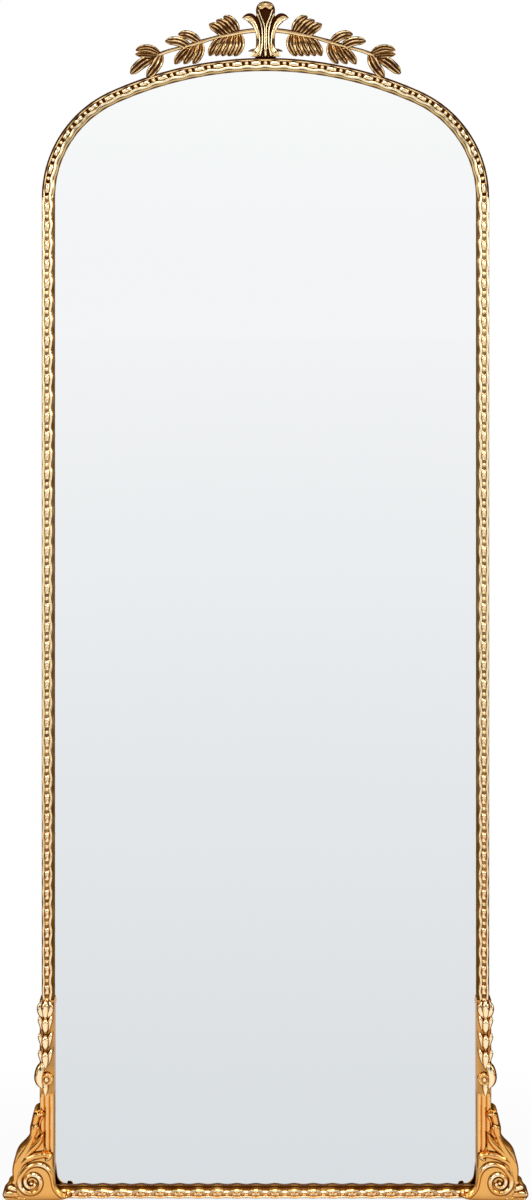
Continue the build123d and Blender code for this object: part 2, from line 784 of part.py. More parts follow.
# Hangers: a strap screwed to the stile, with an eye rolled round the ring's bar
eye_bore = ring_wire_radius + ring_fit
eye_outer = eye_bore + strap_thickness
ring_y = back_y + strap_step + eye_outer
with BuildPart() as left_hanger_strap:
    strap_x = -stile_back_x
    with BuildSketch(Plane.YZ.offset(strap_x - strap_width / 2)) as strap_profile:
        with BuildLine():
            Polyline(
                (back_y, hanger_z - strap_length),
                (back_y + strap_thickness, hanger_z - strap_length),
                (back_y + strap_thickness, hanger_z - eye_outer - strap_step),
                (back_y + strap_thickness + strap_step, hanger_z - eye_outer),
                (back_y + strap_thickness + strap_step, hanger_z),
                (back_y + strap_step, hanger_z),
                (back_y + strap_step, hanger_z - eye_outer),
                (back_y, hanger_z - eye_outer - strap_step),
                close=True,
            )
        make_face()
        with Locations((ring_y, hanger_z)):
            Circle(eye_outer)
            Circle(eye_bore, mode=Mode.SUBTRACT)
    extrude(strap_profile.sketch, amount=strap_width)
    through_holes(strap_screws, back_y, back_y + strap_thickness)
left_hanger_strap.part.label = "left_hanger_strap"
export_step(left_hanger_strap.part, "parts/left_hanger_strap.step")

with BuildPart() as right_hanger_strap:
    mirror(left_hanger_strap.part, about=Plane.YZ)
right_hanger_strap.part.label = "right_hanger_strap"
export_step(right_hanger_strap.part, "parts/right_hanger_strap.step")

with BuildPart() as hanger_screws:
    screws(both_sides(strap_screws), back_y + strap_thickness)
hanger_screws.part.label = "hanger_screws"
export_step(hanger_screws.part, "parts/hanger_screws.step")

# Three-sided ring, hanging from the strap's eye
with BuildPart() as left_ring:
    with BuildLine(front(ring_y)) as ring_path:
        Polyline(
            (strap_x, hanger_z),
            (strap_x + ring_width / 2, hanger_z),
            (strap_x, hanger_z - ring_height),
            (strap_x - ring_width / 2, hanger_z),
            (strap_x, hanger_z),
        )
    with BuildSketch(Plane(origin=(strap_x, ring_y, hanger_z), z_dir=(1, 0, 0))) as wire:
        Circle(ring_wire_radius)
    sweep(wire.sketch, path=ring_path.line, transition=Transition.RIGHT)
left_ring.part.label = "left_ring"
export_step(left_ring.part, "parts/left_ring.step")

with BuildPart() as right_ring:
    mirror(left_ring.part, about=Plane.YZ)
right_ring.part.label = "right_ring"
export_step(right_ring.part, "parts/right_ring.step")
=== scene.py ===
import math

import bmesh
import bpy
import numpy as np
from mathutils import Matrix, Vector


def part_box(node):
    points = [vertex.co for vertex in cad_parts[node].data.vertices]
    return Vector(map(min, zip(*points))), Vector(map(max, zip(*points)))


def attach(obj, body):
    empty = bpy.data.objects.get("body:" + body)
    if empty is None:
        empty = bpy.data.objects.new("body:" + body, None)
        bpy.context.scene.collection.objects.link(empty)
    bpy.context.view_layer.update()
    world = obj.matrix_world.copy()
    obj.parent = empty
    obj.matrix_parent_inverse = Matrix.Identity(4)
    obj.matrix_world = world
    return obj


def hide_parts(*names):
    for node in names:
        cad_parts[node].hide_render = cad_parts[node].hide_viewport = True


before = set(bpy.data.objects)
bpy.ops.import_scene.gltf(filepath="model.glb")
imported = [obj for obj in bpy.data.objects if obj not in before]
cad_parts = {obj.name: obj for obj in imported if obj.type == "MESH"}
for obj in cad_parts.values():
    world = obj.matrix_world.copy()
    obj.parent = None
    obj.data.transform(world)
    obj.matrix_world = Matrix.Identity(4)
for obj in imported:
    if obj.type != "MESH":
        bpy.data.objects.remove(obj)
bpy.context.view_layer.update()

bl_info = {
    "name": "Gilt Wall Mirror",
    "version": (1, 0, 0),
    "blender": (4, 5, 0),
    "location": "3D View > Sidebar > Mirror",
    "description": "Dresses the frame of an arched gilt wall mirror and sets up its studio",
    "category": "Object",
}

MM = 0.001

# Sizes of the castings, in millimetres, as the solids have them
HALF_WIDTH = 323.0
ARCH_TOP = 1648.0
CROWN_RADIUS = 542.0
SHOULDER_RADIUS = 168.0
FACE_WIDTH = 18.0
RAIL_FACE = 15.0
RAIL_BOTTOM = 1.5
FLANGE_WIDTH = 11.0
RAIL_FLANGE = 6.5
BACK_Y = 18.0
LIP_Y = 5.0
FLOOR_Y = -7.0
CREST_Y = -10.0
PILASTER_BOTTOM = 69.0
REEDS_TOP = 150.0
PILASTER_TOP = 288.0
PILASTER_WIDENING = 3.0
ROSETTE_Z = 175.0
CROWN_CENTRE = ARCH_TOP - CROWN_RADIUS
SHOULDER_X = HALF_WIDTH - SHOULDER_RADIUS
JOIN_ANGLE = math.asin(SHOULDER_X / (CROWN_RADIUS - SHOULDER_RADIUS))
SPRING_Z = CROWN_CENTRE + math.sqrt((CROWN_RADIUS - SHOULDER_RADIUS) ** 2 - SHOULDER_X**2)
RAIL_BEADS = 556.0
SIGHT_WAVE = 1.2
RAIL_WAVE = 1.4
REED_PITCH = 7.0
REED_HEIGHT = 3.0
PILASTER_AXIS = 7.5
HUSK_PITCH = 24.0
HUSKS_TOP = 264.0

# How far forward the carved surfaces start, in millimetres
FOOT_Y = -10.6
PLUME_Y = -3.5
CROWN_LEAF_Y = -4.0
STEM_Y = -5.0

PLATE_BACK_TONE = 0.08  # painted tone on the back of a carved plate, near the full painted shade
SHARES = np.linspace(0, 1, 29)  # across a moulding's face, from the outer edge to the sight edge


# Shapes: arrays in millimetres, turned into meshes in metres
def ease(low, high, value):
    """Smooth step from 0 below low to 1 above high: 3t^2 - 2t^3."""
    t = np.clip((value - low) / (high - low), 0.0, 1.0)
    return t * t * (3.0 - 2.0 * t)


def dome(distance, half_width):
    """Round cross-section: the square root of 1 minus the squared share of the half-width."""
    return np.sqrt(np.clip(1.0 - (distance / half_width) ** 2, 0.0, 1.0))


def soften(grid, times):
    """Grid averaged with its four neighbours, several times over."""
    for _ in range(times):
        wide = np.pad(grid, 1, mode="edge")
        grid = (grid * 4 + wide[:-2, 1:-1] + wide[2:, 1:-1] + wide[1:-1, :-2] + wide[1:-1, 2:]) / 8
    return grid


def relief_shading(height, times=10, gain=0.9, ground=0.55):
    """Painted light and shade of a face: the ground plus the gain times its height above its softened self, light on
    crests and dark in hollows.
    """
    return np.clip(ground + gain * (height - soften(height, times)), 0.0, 1.0)


def spline(rows, count):
    """Natural cubic spline through the rows, all columns together, spaced by the first two."""
    rows = np.asarray(rows, float)
    steps = np.hypot(*np.diff(rows[:, :2], axis=0).T)
    knots = np.concatenate([[0.0], np.cumsum(np.maximum(steps, 1e-6))])
    n = len(rows)
    system = np.eye(n)
    right = np.zeros_like(rows)
    gaps = np.diff(knots)
    for i in range(1, n - 1):
        system[i, i - 1 : i + 2] = gaps[i - 1], 2 * (gaps[i - 1] + gaps[i]), gaps[i]
        right[i] = 6 * ((rows[i + 1] - rows[i]) / gaps[i] - (rows[i] - rows[i - 1]) / gaps[i - 1])
    bend = np.linalg.solve(system, right)
    at = np.linspace(0.0, knots[-1], count)
    cell = np.clip(np.searchsorted(knots, at, side="right") - 1, 0, n - 2)
    h = gaps[cell][:, None]
    a = (knots[cell + 1] - at)[:, None]
    b = (at - knots[cell])[:, None]
    return (
        bend[cell] * a**3 / (6 * h)
        + bend[cell + 1] * b**3 / (6 * h)
        + (rows[cell] / h - bend[cell] * h / 6) * a
        + (rows[cell + 1] / h - bend[cell + 1] * h / 6) * b
    )


def grid_quads(rows, columns, wrap_columns=False):
    """Corner numbers of the quads of a grid of points stored row by row."""
    r = np.arange(rows - 1)[:, None]
    c = np.arange(columns if wrap_columns else columns - 1)[None, :]
    right = (c + 1) % columns
    return np.stack([
        r * columns + c, r * columns + right, (r + 1) * columns + right, (r + 1) * columns + c
    ], -1).reshape(-1, 4)


def loop_caps(rows, columns):
    """End faces of a closed tube of points."""
    return [list(range(columns - 1, -1, -1)), list(range((rows - 1) * columns, rows * columns))]


def tube_faces(points):
    """Quads and end faces of a tube of points, row by row."""
    rows, columns = points.shape[:2]
    return grid_quads(rows, columns, True), loop_caps(rows, columns)


def make_piece(name, points, quads, material, node, body="frame", crest=None, caps=(), smooth=45.0):
    """Mesh of points in millimetres, merged, closed and turned outwards, standing for CAD nodes; the node argument is
    not used.
    """
    mesh = bpy.data.meshes.new(name)
    faces = [list(map(int, quad)) for quad in quads] + [list(cap) for cap in caps]
    mesh.from_pydata((np.asarray(points).reshape(-1, 3) * MM).tolist(), [], faces)
    if crest is not None:
        layer = mesh.attributes.new("crest", "FLOAT", "POINT")
        layer.data.foreach_set("value", np.ascontiguousarray(np.clip(crest, 0, 1).ravel(), dtype=np.float32))
    work = bmesh.new()
    work.from_mesh(mesh)
    bmesh.ops.remove_doubles(work, verts=work.verts, dist=2e-6)
    bmesh.ops.dissolve_degenerate(work, edges=work.edges, dist=1e-7)
    bmesh.ops.recalc_face_normals(work, faces=work.faces)
    work.to_mesh(mesh)
    work.free()
    mesh.shade_smooth()
    mesh.set_sharp_from_angle(angle=math.radians(smooth))
    mesh.materials.append(material)
    piece = bpy.data.objects.new(name, mesh)
    bpy.context.scene.collection.objects.link(piece)
    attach(piece, body)
    return piece


def mirrored(points):
    """The same places on the other side of the middle line."""
    return np.asarray(points) * np.array([-1.0, 1.0, 1.0])


def make_pair(name, node, points, quads, material, crest, caps, smooth):
    """A piece on the left and its mirror image on the right, each in place of its own CAD node."""
    for side, shape in (("left_", points), ("right_", mirrored(points))):
        piece = make_piece(side + name, shape, quads, material, side + node, crest=crest, caps=caps, smooth=smooth)
        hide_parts(side + node)


class Socket:
    """A shader value that adds its Math nodes when it is used in an expression."""

    def __init__(self, tree, link):
        self.tree = tree
        self.link = link

    def maths(self, operation, *values):
        return self.tree.node("ShaderNodeMath", {"operation": operation}, *values)

    def __add__(self, other):
        return self.maths("ADD", self, other)

    def __sub__(self, other):
        return self.maths("SUBTRACT", self, other)

    def __mul__(self, other):
        return self.maths("MULTIPLY", self, other)

    def __truediv__(self, other):
        return self.maths("DIVIDE", self, other)

    def __rsub__(self, other):
        return self.maths("SUBTRACT", other, self)

    def __rtruediv__(self, other):
        return self.maths("DIVIDE", other, self)

    def __abs__(self):
        return self.maths("ABSOLUTE", self)

    __radd__ = __add__

    def clamp(self):
        return self.tree.node("ShaderNodeMath", {"operation": "ADD", "use_clamp": True}, self, 0.0)

    def ease(self, low, high):
        return self.tree.node(
            "ShaderNodeMapRange", {
                "interpolation_type": "SMOOTHSTEP"
            }, Value=self, **{"From Min": low, "From Max": high}
        )


class Finish:
    """A material or world under construction."""

    def __init__(self, block):
        block.use_nodes = True
        self.nodes = block.node_tree.nodes
        self.links = block.node_tree.links
        self.nodes.clear()

    def node(self, kind, settings=None, *values, out=0, **named):
        """Adds a node: settings first, then its sockets by place or by name. Returns an output."""
        made = self.nodes.new(kind)
        for key, value in (settings or {}).items():
            setattr(made, key, value)
        for place, value in [*enumerate(values), *named.items()]:
            socket = made.inputs[place]
            if isinstance(value, Socket):
                self.links.new(value.link, socket)
            elif isinstance(value, (tuple, list)) and socket.type == "RGBA" and len(value) == 3:
                socket.default_value = (*value, 1.0)
            else:
                socket.default_value = value
        return Socket(self, made.outputs[out]) if len(made.outputs) else None

    def mix(self, factor, first, second):
        """Colour mix: sockets 0, 6 and 7 are the factor and the two colours."""
        made = self.nodes.new("ShaderNodeMix")
        made.data_type = "RGBA"
        for place, value in ((0, factor), (6, first), (7, second)):
            if isinstance(value, Socket):
                self.links.new(value.link, made.inputs[place])
            else:
                made.inputs[place].default_value = value if place == 0 else (*value, 1.0)
        return Socket(self, made.outputs[2])

    def axis(self, letter, space="Object"):
        """X, Y or Z of a texture coordinate."""
        return self.node("ShaderNodeSeparateXYZ", None, self.node("ShaderNodeTexCoord", out=space), out=letter)

    def noise(self, scale, detail=3.0, roughness=0.55, stretch=(1.0, 1.0, 1.0)):
        """Noise over object coordinates, which are first multiplied by the stretch."""
        here = self.node("ShaderNodeTexCoord", out="Object")
        there = self.node("ShaderNodeMapping", None, here, Scale=stretch)
        return self.node("ShaderNodeTexNoise", None, Vector=there, Scale=scale, Detail=detail, Roughness=roughness)

    def close(self, **sockets):
        """Principled surface with the given sockets, joined to the output."""
        surface = self.node("ShaderNodeBsdfPrincipled", None, **{k.replace("_", " "): v for k, v in sockets.items()})
        self.node("ShaderNodeOutputMaterial", None, surface)


def to_linear(colour):
    """Screen colour to linear: below 0.04045 divide by 12.92, else ((c + 0.055) / 1.055) ^ 2.4."""
    return tuple(c / 12.92 if c <= 0.04045 else ((c + 0.055) / 1.055) ** 2.4 for c in colour)


def finished(paint):
    """Makes the material of a paint function once, under its name, and gives it again after that."""

    def material(*settings):
        made = bpy.data.materials.get(paint.__name__)
        if made is None:
            made = bpy.data.materials.new(paint.__name__)
            paint(Finish(made), *settings)
        return made

    return material


@finished
def gilt(finish, settings):
    """Polished gold leaf with painted light and shade: a dark brown painted shade in the hollows and a pale gold
    painted highlight on the crests, both read from the crest attribute.
    """
    crest = finish.node("ShaderNodeAttribute", {"attribute_name": "crest"}, out="Fac")
    cloud = finish.noise(38.0, 4.0)
    grain = finish.noise(420.0, 3.0)
    # Paler gold higher up and redder gold near the bottom, blurred by the cloud; the paler upper gold is partly
    # painted reflection, for the bright rims
    low = (1.0 - finish.axis("Z").ease(0.2, 0.9) + (cloud - 0.5) * 0.6).clamp()
    gold = finish.mix(low, to_linear(settings.gold), to_linear(settings.gold_warm))
    # Painted shade: dark brown where the crest attribute is low, in the hollows; the roughness drops outside it
    clear_of_shade = (crest + (cloud - 0.5) * 0.25).ease(0.15, 0.5)
    colour = finish.mix(clear_of_shade, to_linear(settings.painted_shade), gold)
    # Painted highlight: pale gold where the crest attribute is high, on the crests
    bright = (crest + (grain - 0.5) * 0.2).ease(0.65, 0.95)
    colour = finish.mix(bright * 0.8, colour, to_linear(settings.gold_highlight))
    rough = 0.28 - clear_of_shade * 0.13 + (grain - 0.5) * 0.05
    bump = finish.node("ShaderNodeBump", None, Strength=0.1, Distance=0.0006, Height=cloud * 0.7 + grain * 0.3)
    finish.close(
        Base_Color=colour, Metallic=1.0, Roughness=rough, Normal=bump, Specular_Tint=to_linear((0.85, 0.74, 0.6))
    )


@finished
def mirror_silver(finish):
    """Silvered glass, faintly cool, with the smallest variation in its polish."""
    cloud = finish.noise(2.0, 2.0)
    colour = finish.mix(cloud, to_linear((0.985, 0.992, 0.995)), to_linear((0.992, 0.996, 0.998)))
    finish.close(Base_Color=colour, Metallic=1.0, Roughness=0.0)


@finished
def zinc_plate(finish):
    """Cold-rolled steel with a zinc coat: soft streaks and a crystalline speckle."""
    streak = finish.noise(60.0, 3.0, stretch=(1.0, 1.0, 0.06))
    speckle = finish.node(
        "ShaderNodeTexVoronoi", None, Vector=finish.node("ShaderNodeTexCoord", out="Object"), Scale=260.0
    )
    colour = finish.mix(streak, to_linear((0.66, 0.67, 0.68)), to_linear((0.78, 0.78, 0.77)))
    rough = 0.36 + speckle * 0.12
    finish.close(Base_Color=colour, Metallic=1.0, Roughness=rough)


@finished
def fibreboard(finish):
    """Brown hardboard: fine flecks over a felted ground."""
    felt = finish.noise(16.0, 5.0, 0.65)
    fleck = finish.noise(330.0, 2.0, 0.5, (1.0, 1.0, 0.35))
    ground = finish.mix(felt, to_linear((0.47, 0.34, 0.22)), to_linear((0.57, 0.43, 0.29)))
    colour = finish.mix(fleck.ease(0.58, 0.75) * 0.5, ground, to_linear((0.70, 0.58, 0.42)))
    bump = finish.node("ShaderNodeBump", None, Strength=0.25, Distance=0.0004, Height=fleck)
    finish.close(Base_Color=colour, Roughness=0.82, Normal=bump)


@finished
def dark_rubber(finish):
    """Black rubber and foam with a dusty bloom."""
    bloom = finish.noise(55.0, 4.0)
    colour = finish.mix(bloom, to_linear((0.10, 0.10, 0.10)), to_linear((0.20, 0.195, 0.19)))
    finish.close(Base_Color=colour, Roughness=0.75)


@finished
def brown_tape(finish):
    """Brown felted tape under the lip of the frame."""
    felt = finish.noise(300.0, 3.0)
    colour = finish.mix(felt, to_linear((0.38, 0.24, 0.17)), to_linear((0.50, 0.34, 0.25)))
    finish.close(Base_Color=colour, Roughness=0.8)


# Beaded moulding
def arch_run(place):
    """Outer edge of the arch and the way inwards, for a walk along the middle of its face.

    Left shoulder arc, crown arc, right shoulder arc: the walk divided by each arc's radius,
    less half a face, is the angle turned so far.
    """
    shoulder = SHOULDER_RADIUS - FACE_WIDTH / 2
    crown = CROWN_RADIUS - FACE_WIDTH / 2
    corner = (math.pi / 2 - JOIN_ANGLE) * shoulder
    middle = 2 * JOIN_ANGLE * crown
    first = math.pi - place / shoulder
    second = math.pi / 2 + JOIN_ANGLE - (place - corner) / crown
    third = math.pi / 2 - JOIN_ANGLE - (place - corner - middle) / shoulder
    part = (place > corner).astype(int) + (place > corner + middle)
    angle = np.choose(part, [first, second, third])
    radius = np.choose(part, [SHOULDER_RADIUS, CROWN_RADIUS, SHOULDER_RADIUS])
    centre_x = np.choose(part, [-SHOULDER_X, 0.0, SHOULDER_X])
    centre_z = np.choose(part, [SPRING_Z, CROWN_CENTRE, SPRING_Z])
    outward = np.stack([np.cos(angle), np.sin(angle)], -1)
    return np.stack([centre_x, centre_z], -1) + radius[:, None] * outward, -outward


ARCH_WALK = 2 * (
    (math.pi / 2 - JOIN_ANGLE) * (SHOULDER_RADIUS - FACE_WIDTH / 2) + JOIN_ANGLE * (CROWN_RADIUS - FACE_WIDTH / 2)
)


def stile_run(place):
    """Outer edge of the left stile and the way inwards, for heights."""
    edge = np.stack([np.full_like(place, -HALF_WIDTH), place], -1)
    return edge, np.broadcast_to([1.0, 0.0], edge.shape)


def rail_run(place):
    """Lower edge of the rail and the way inwards, for places across."""
    edge = np.stack([place, np.full_like(place, RAIL_BOTTOM)], -1)
    return edge, np.broadcast_to([0.0, 1.0], edge.shape)


def nearness(turn):
    """1 in the middle of a barrel, 0 half-way to the next, by a cosine."""
    return np.cos(2 * np.pi * turn) * 0.5 + 0.5


def bead_relief(turn, across, face, settings, lowest=0.27, hollow=0.22, shaded=0.0):
    """Height of the beaded face and its painted light and shade, for a turn in beads and a share across.

    Two rims that pinch towards each other once a bead, a barrel at each whole turn and a small
    ball half-way, all over a sunk floor: the largest of their domes. Past the inner rim a cove
    falls to the sight edge, by the share of its width to the power 1.4. The tone is painted light
    on the crests and painted shade in the hollows. The outer rim loses the shaded part of its
    tone as painted shade, the face's tone is never under the lowest, and the cove's is 0.05 plus
    hollow times a half wave across it to the power 0.7, painted shade at both its edges.
    """
    place = (turn - np.floor(turn + 0.5)) * settings.pitch / MM
    q = across * face
    cove = settings.cove / MM
    rim = (face - cove) * 0.135
    middle = (face - cove) / 2
    pinch = settings.pinch / MM * (1.0 - nearness(turn))
    outer = dome(q - rim - pinch * 0.5, rim * 1.08)
    inner = dome(face - cove - q - rim - pinch * 0.5, rim * 1.08)
    barrel = dome(q - middle, settings.barrel_width / MM / 2) * dome(place, settings.barrel_length / MM / 2) ** 0.6
    far = settings.pitch / MM / 2 - np.abs(place)
    ball = dome(np.hypot(far, q - middle), settings.ball / MM / 2)
    relief = np.maximum.reduce([np.maximum(outer, inner) * 3.0, barrel * 3.3, ball * 2.4])
    sunk = np.clip((q - face + cove) / cove, 0.0, 1.0)
    on_rim = 1.0 - ease(1.1 * rim, 2.1 * rim, q)
    light_and_shade = np.clip(relief_shading(relief, 8, 1.6, 0.5), lowest, 1.0) * (1.0 - shaded * on_rim)
    light_and_shade = np.where(sunk > 0, 0.05 + hollow * np.sin(np.pi * sunk) ** 0.7, light_and_shade)
    return relief - 8.0 * sunk**1.4, light_and_shade


def moulding(edge, inwards, relief, light_and_shade, outer_q, face, flange, wave):
    """Closed section carried along a run.

    The face runs from the outer edge to the sight edge with the given relief, then the section
    goes back along the rebate and the flange. A point is the edge plus its inset times the way in.
    """
    q_front = outer_q[:, None] + SHARES[None, :] * (face - wave[:, None] - outer_q[:, None])
    y_front = FLOOR_Y + 0.4 - relief
    sight, step = face - wave, np.full_like(wave, flange)
    rest_q = np.stack([sight, sight, step, step, outer_q, outer_q], -1)
    rest_y = np.broadcast_to([LIP_Y - 1.0, LIP_Y, LIP_Y, BACK_Y, BACK_Y, FLOOR_Y + 2.0], rest_q.shape)
    q = np.concatenate([q_front, rest_q], 1)
    y = np.concatenate([y_front, rest_y], 1)
    flat = edge[:, None, :] + q[..., None] * inwards[:, None, :]
    # Tones of the section's other sides: painted shade in the rebate, mid tone on the flange and back, and the outer
    # side darkening to a painted shade at its front edge
    crest = np.concatenate([light_and_shade, np.broadcast_to([0.5, 0.3, 0.4, 0.5, 0.5, 0.15], rest_q.shape)], 1)
    return np.stack([flat[..., 0], y, flat[..., 1]], -1), crest


def beaded_piece(name, node, run, place, turn, face, flange, reach, material, sizes, tones):
    """Beads all along a run, with a sight edge that waves in by the reach, as one closed piece."""
    relief, light_and_shade = bead_relief(turn[:, None], SHARES[None, :], face, sizes, **tones)
    wave = reach * (1 - nearness(turn))
    points, crest = moulding(*run(place), relief, light_and_shade, np.zeros_like(place), face, flange, wave)
    quads, caps = tube_faces(points)
    return make_piece(name, points, quads, material, node, crest=crest, caps=caps, smooth=50.0)


# Leaves
def frames(tangent):
    """Unit vectors beside a line and before it, towards the viewer, from the way it goes."""
    tangent = tangent / np.linalg.norm(tangent, axis=1)[:, None]
    front = np.array([0.0, -1.0, 0.0]) + tangent * tangent[:, 1:2]
    front /= np.linalg.norm(front, axis=1)[:, None]
    return np.cross(tangent, front), front


def hoops(tangent, angle):
    """Unit rings of points round a line, at the given angles."""
    side, front = frames(tangent)
    return side[:, None, :] * np.cos(angle)[None, :, None] + front[:, None, :] * np.sin(angle)[None, :, None]


def leaf_grid(spine, half_width, lift, thickness, dish=0.0, dark=0.0, side_shade=0.0, count_v=17):
    """Leaf along a spine: across it v runs from -1 to 1 and back again behind.

    Point = spine + v * half-width * side + lift * profile * front. The profile is a crown,
    (1 - v^2)^0.8, or for a dished leaf a raised edge near v = 0.8 and a midrib at v = 0, and the
    back is the same less the thickness times the square root of 1 - v^2. Its painted tone is 1.25
    times the profile less 0.15, the dark and the side shade times v: painted highlight on the raised
    parts, painted shade in the low ones, over the whole leaf by the dark and down one side by the
    side shade.
    """
    spine = np.asarray(spine, float)
    side, front = frames(np.gradient(spine, axis=0))
    v = np.sin(np.linspace(-np.pi / 2, np.pi / 2, count_v))
    crown = (1 - v**2) ** 0.8
    edged = 0.95 * np.exp(-(((np.abs(v) - 0.78) / 0.18) ** 2)) + 0.45 * np.exp(-((v / 0.14) ** 2))
    profile = (1 - dish) * (crown - 0.14 * np.exp(-((v / 0.25) ** 2))) + dish * edged * (1 - v**8)
    height = lift[:, None] * profile[None, :]
    flat = spine[:, None, :] + side[:, None, :] * (v[None, :] * half_width[:, None])[..., None]
    face = flat + front[:, None, :] * height[..., None]
    body = (thickness * np.minimum(1.0, half_width / 2.0))[:, None] * np.sqrt(np.clip(1 - v**2, 0, 1))[None, :]
    rear = flat + front[:, None, :] * (height - body)[..., None]
    points = np.concatenate([face, rear[:, -2:0:-1]], 1)
    # Painted tone: highlight on the raised parts and shade in the low ones, darker overall by the dark and down one
    # side by the side shade
    shine = np.broadcast_to(np.clip(1.25 * profile - 0.15 - dark - side_shade * v, 0, 1), height.shape)
    dull = np.full_like(rear[:, -2:0:-1, 0], 0.4)
    return points, np.concatenate([shine, dull], 1)


def shaped_leaf(rows, base_y, thickness=2.6, dish=0.0, dark=0.0, side_shade=0.0, count=28):
    """Leaf along a spline of rows: x, z, half-width, how far it comes forward, and its crown."""
    line = spline(rows, count)
    spine = np.stack([line[:, 0], base_y - line[:, 3], line[:, 1]], -1)
    return leaf_grid(spine, np.maximum(line[:, 2], 0.2), np.maximum(line[:, 4], 0.1), thickness, dish, dark, side_shade)


def laurel_leaf(root, tip, half_width, bow, rise, base_y):
    """Dished leaf from root to tip, its spine bowed to the left of its way by bow * sin(pi u)."""
    u = np.array([0.0, 0.2, 0.45, 0.7, 0.9, 1.0])
    way = tip - root
    left = np.array([-way[1], way[0]]) / np.hypot(*way)
    flat = root + u[:, None] * way + (bow * np.sin(np.pi * u))[:, None] * left
    width = half_width * np.array([0.35, 0.85, 1.0, 0.93, 0.62, 0.18])
    forward = rise * np.array([0.15, 0.7, 1.0, 0.95, 0.6, 0.3])
    lift = np.array([1.4, 2.6, 3.2, 3.0, 2.0, 0.7])
    return shaped_leaf(np.column_stack([flat, width, forward, lift]), base_y, 2.4, 0.8)


def fan_of_leaves(roots, tips, count, widths, bows, rises):
    """Laurel leaves side by side, spaced evenly from the first root and tip to the last."""
    roots, tips = np.asarray(roots, float), np.asarray(tips, float)
    leaves = []
    for share in np.linspace(0.0, 1.0, count):
        root = roots[0] * (1 - share) + roots[1] * share + [0.0, ARCH_TOP]
        tip = tips[0] * (1 - share) + tips[1] * share + [0.0, ARCH_TOP]
        width, bow, rise = (first * (1 - share) + last * share for first, last in (widths, bows, rises))
        leaves.append(laurel_leaf(root, tip, width, bow, rise, CROWN_LEAF_Y))
    return leaves


def stack_leaves(leaves):
    """Several leaf grids as one mesh: points, quads, caps and crests with their numbers moved on."""
    all_points, all_quads, all_crest, caps, first = [], [], [], [], 0
    for points, crest in leaves:
        rows, columns = points.shape[:2]
        all_points.append(points.reshape(-1, 3))
        all_crest.append(crest.ravel())
        all_quads.append(grid_quads(rows, columns, True) + first)
        caps += [[i + first for i in cap] for cap in loop_caps(rows, columns)]
        first += rows * columns
    return np.concatenate(all_points), np.concatenate(all_quads), np.concatenate(all_crest), caps


def tube_grid(rows, sides=16):
    """Round tube along rows of x, y, z and radius."""
    rows = np.asarray(rows, float)
    spine = rows[:, :3]
    angle = np.linspace(0, 2 * np.pi, sides, endpoint=False)
    points = spine[:, None, :] + rows[:, 3][:, None, None] * hoops(np.gradient(spine, axis=0), angle)
    # Painted light down one side of the stem and painted shade down the other, by the cosine of the angle round it
    crest = np.broadcast_to(0.42 - 0.6 * np.cos(angle)[None, :], points.shape[:2])
    return points, crest


def wire_loop(path, radius, sides=14):
    """Round wire along a closed path that lies flat, front on: its last point is its first."""
    ahead = np.roll(path[:-1], -1, axis=0) - np.roll(path[:-1], 1, axis=0)
    ahead = np.concatenate([ahead, ahead[:1]])
    return path[:, None, :] + radius * hoops(ahead, np.linspace(0, 2 * np.pi, sides, endpoint=False))


# Relief carved from strokes
def stroke_relief(x, z, strokes, base=0.0):
    """Height of a carved face: the largest dome of all strokes.

    A stroke is a spline of rows x, z, half-width and height. A point's height over it is the
    row's height times the dome of its distance to the line, which is taken from the nearest row
    and moved along the line's direction there by at most half a step.
    """
    height = np.full(x.shape, base, float)
    for rows, count in strokes:
        line = spline(rows, count)
        share = np.hypot(x[..., None] - line[:, 0], z[..., None] - line[:, 1]) / np.maximum(line[:, 2], 0.05)
        nearest = np.argmin(share, -1)
        slope = np.gradient(line, axis=0)
        step = np.hypot(slope[:, 0], slope[:, 1])
        row, slope, step = line[nearest], slope[nearest] / step[nearest][..., None], step[nearest]
        along = (x - row[..., 0]) * slope[..., 0] + (z - row[..., 1]) * slope[..., 1]
        along = np.clip(along, np.where(nearest > 0, -step / 2, 0.0), np.where(nearest < count - 1, step / 2, 0.0))
        there = row + slope * along[..., None]
        away = np.hypot(x - there[..., 0], z - there[..., 1]) / np.maximum(there[..., 2], 0.05)
        height = np.maximum(height, there[..., 3] * np.sqrt(np.clip(1 - away**2, 0, 1)))
    return height


def ruled(outer, inner, rows, columns):
    """Grid between two boundary splines, straight across from one to the other."""
    a = spline(outer, rows)
    b = spline(inner, rows)
    v = np.linspace(0, 1, columns)
    v = 0.5 - 0.5 * np.cos(np.pi * v)
    return a[:, None, :] * (1 - v)[None, :, None] + b[:, None, :] * v[None, :, None], v


def carved_plate(outer, inner, strokes, base_y, rear, base, rows, columns, edge=4.0, shading=(10, 0.9, 0.55)):
    """Plate between two outlines, its front raised by strokes and rounded off at the outlines."""
    flat, v = ruled(outer, inner, rows, columns)
    x, z = flat[..., 0], flat[..., 1]
    height = stroke_relief(x, z, strokes, base)
    breadth = np.linalg.norm(flat[:, -1] - flat[:, 0], axis=1)[:, None]
    away = np.minimum(v, 1 - v)[None, :] * breadth
    walked = np.linalg.norm(np.diff(flat[:, columns // 2], axis=0), axis=1)
    walked = np.concatenate([[0.0], np.cumsum(walked)])
    ends = np.minimum(walked, walked[-1] - walked)[:, None]
    away = np.minimum(away, ends)
    round_off = np.sqrt(np.clip(1 - (1 - np.clip(away / edge, 0, 1)) ** 2, 0, 1))
    front_y = base_y - height * round_off
    front = np.stack([x, front_y, z], -1)
    back = np.stack(rear(x, z), -1)
    crest = relief_shading(height * round_off, *shading)
    points = np.concatenate([front, back[:, ::-1]], 1)
    return points, np.concatenate([crest, np.full_like(crest, PLATE_BACK_TONE)], 1)


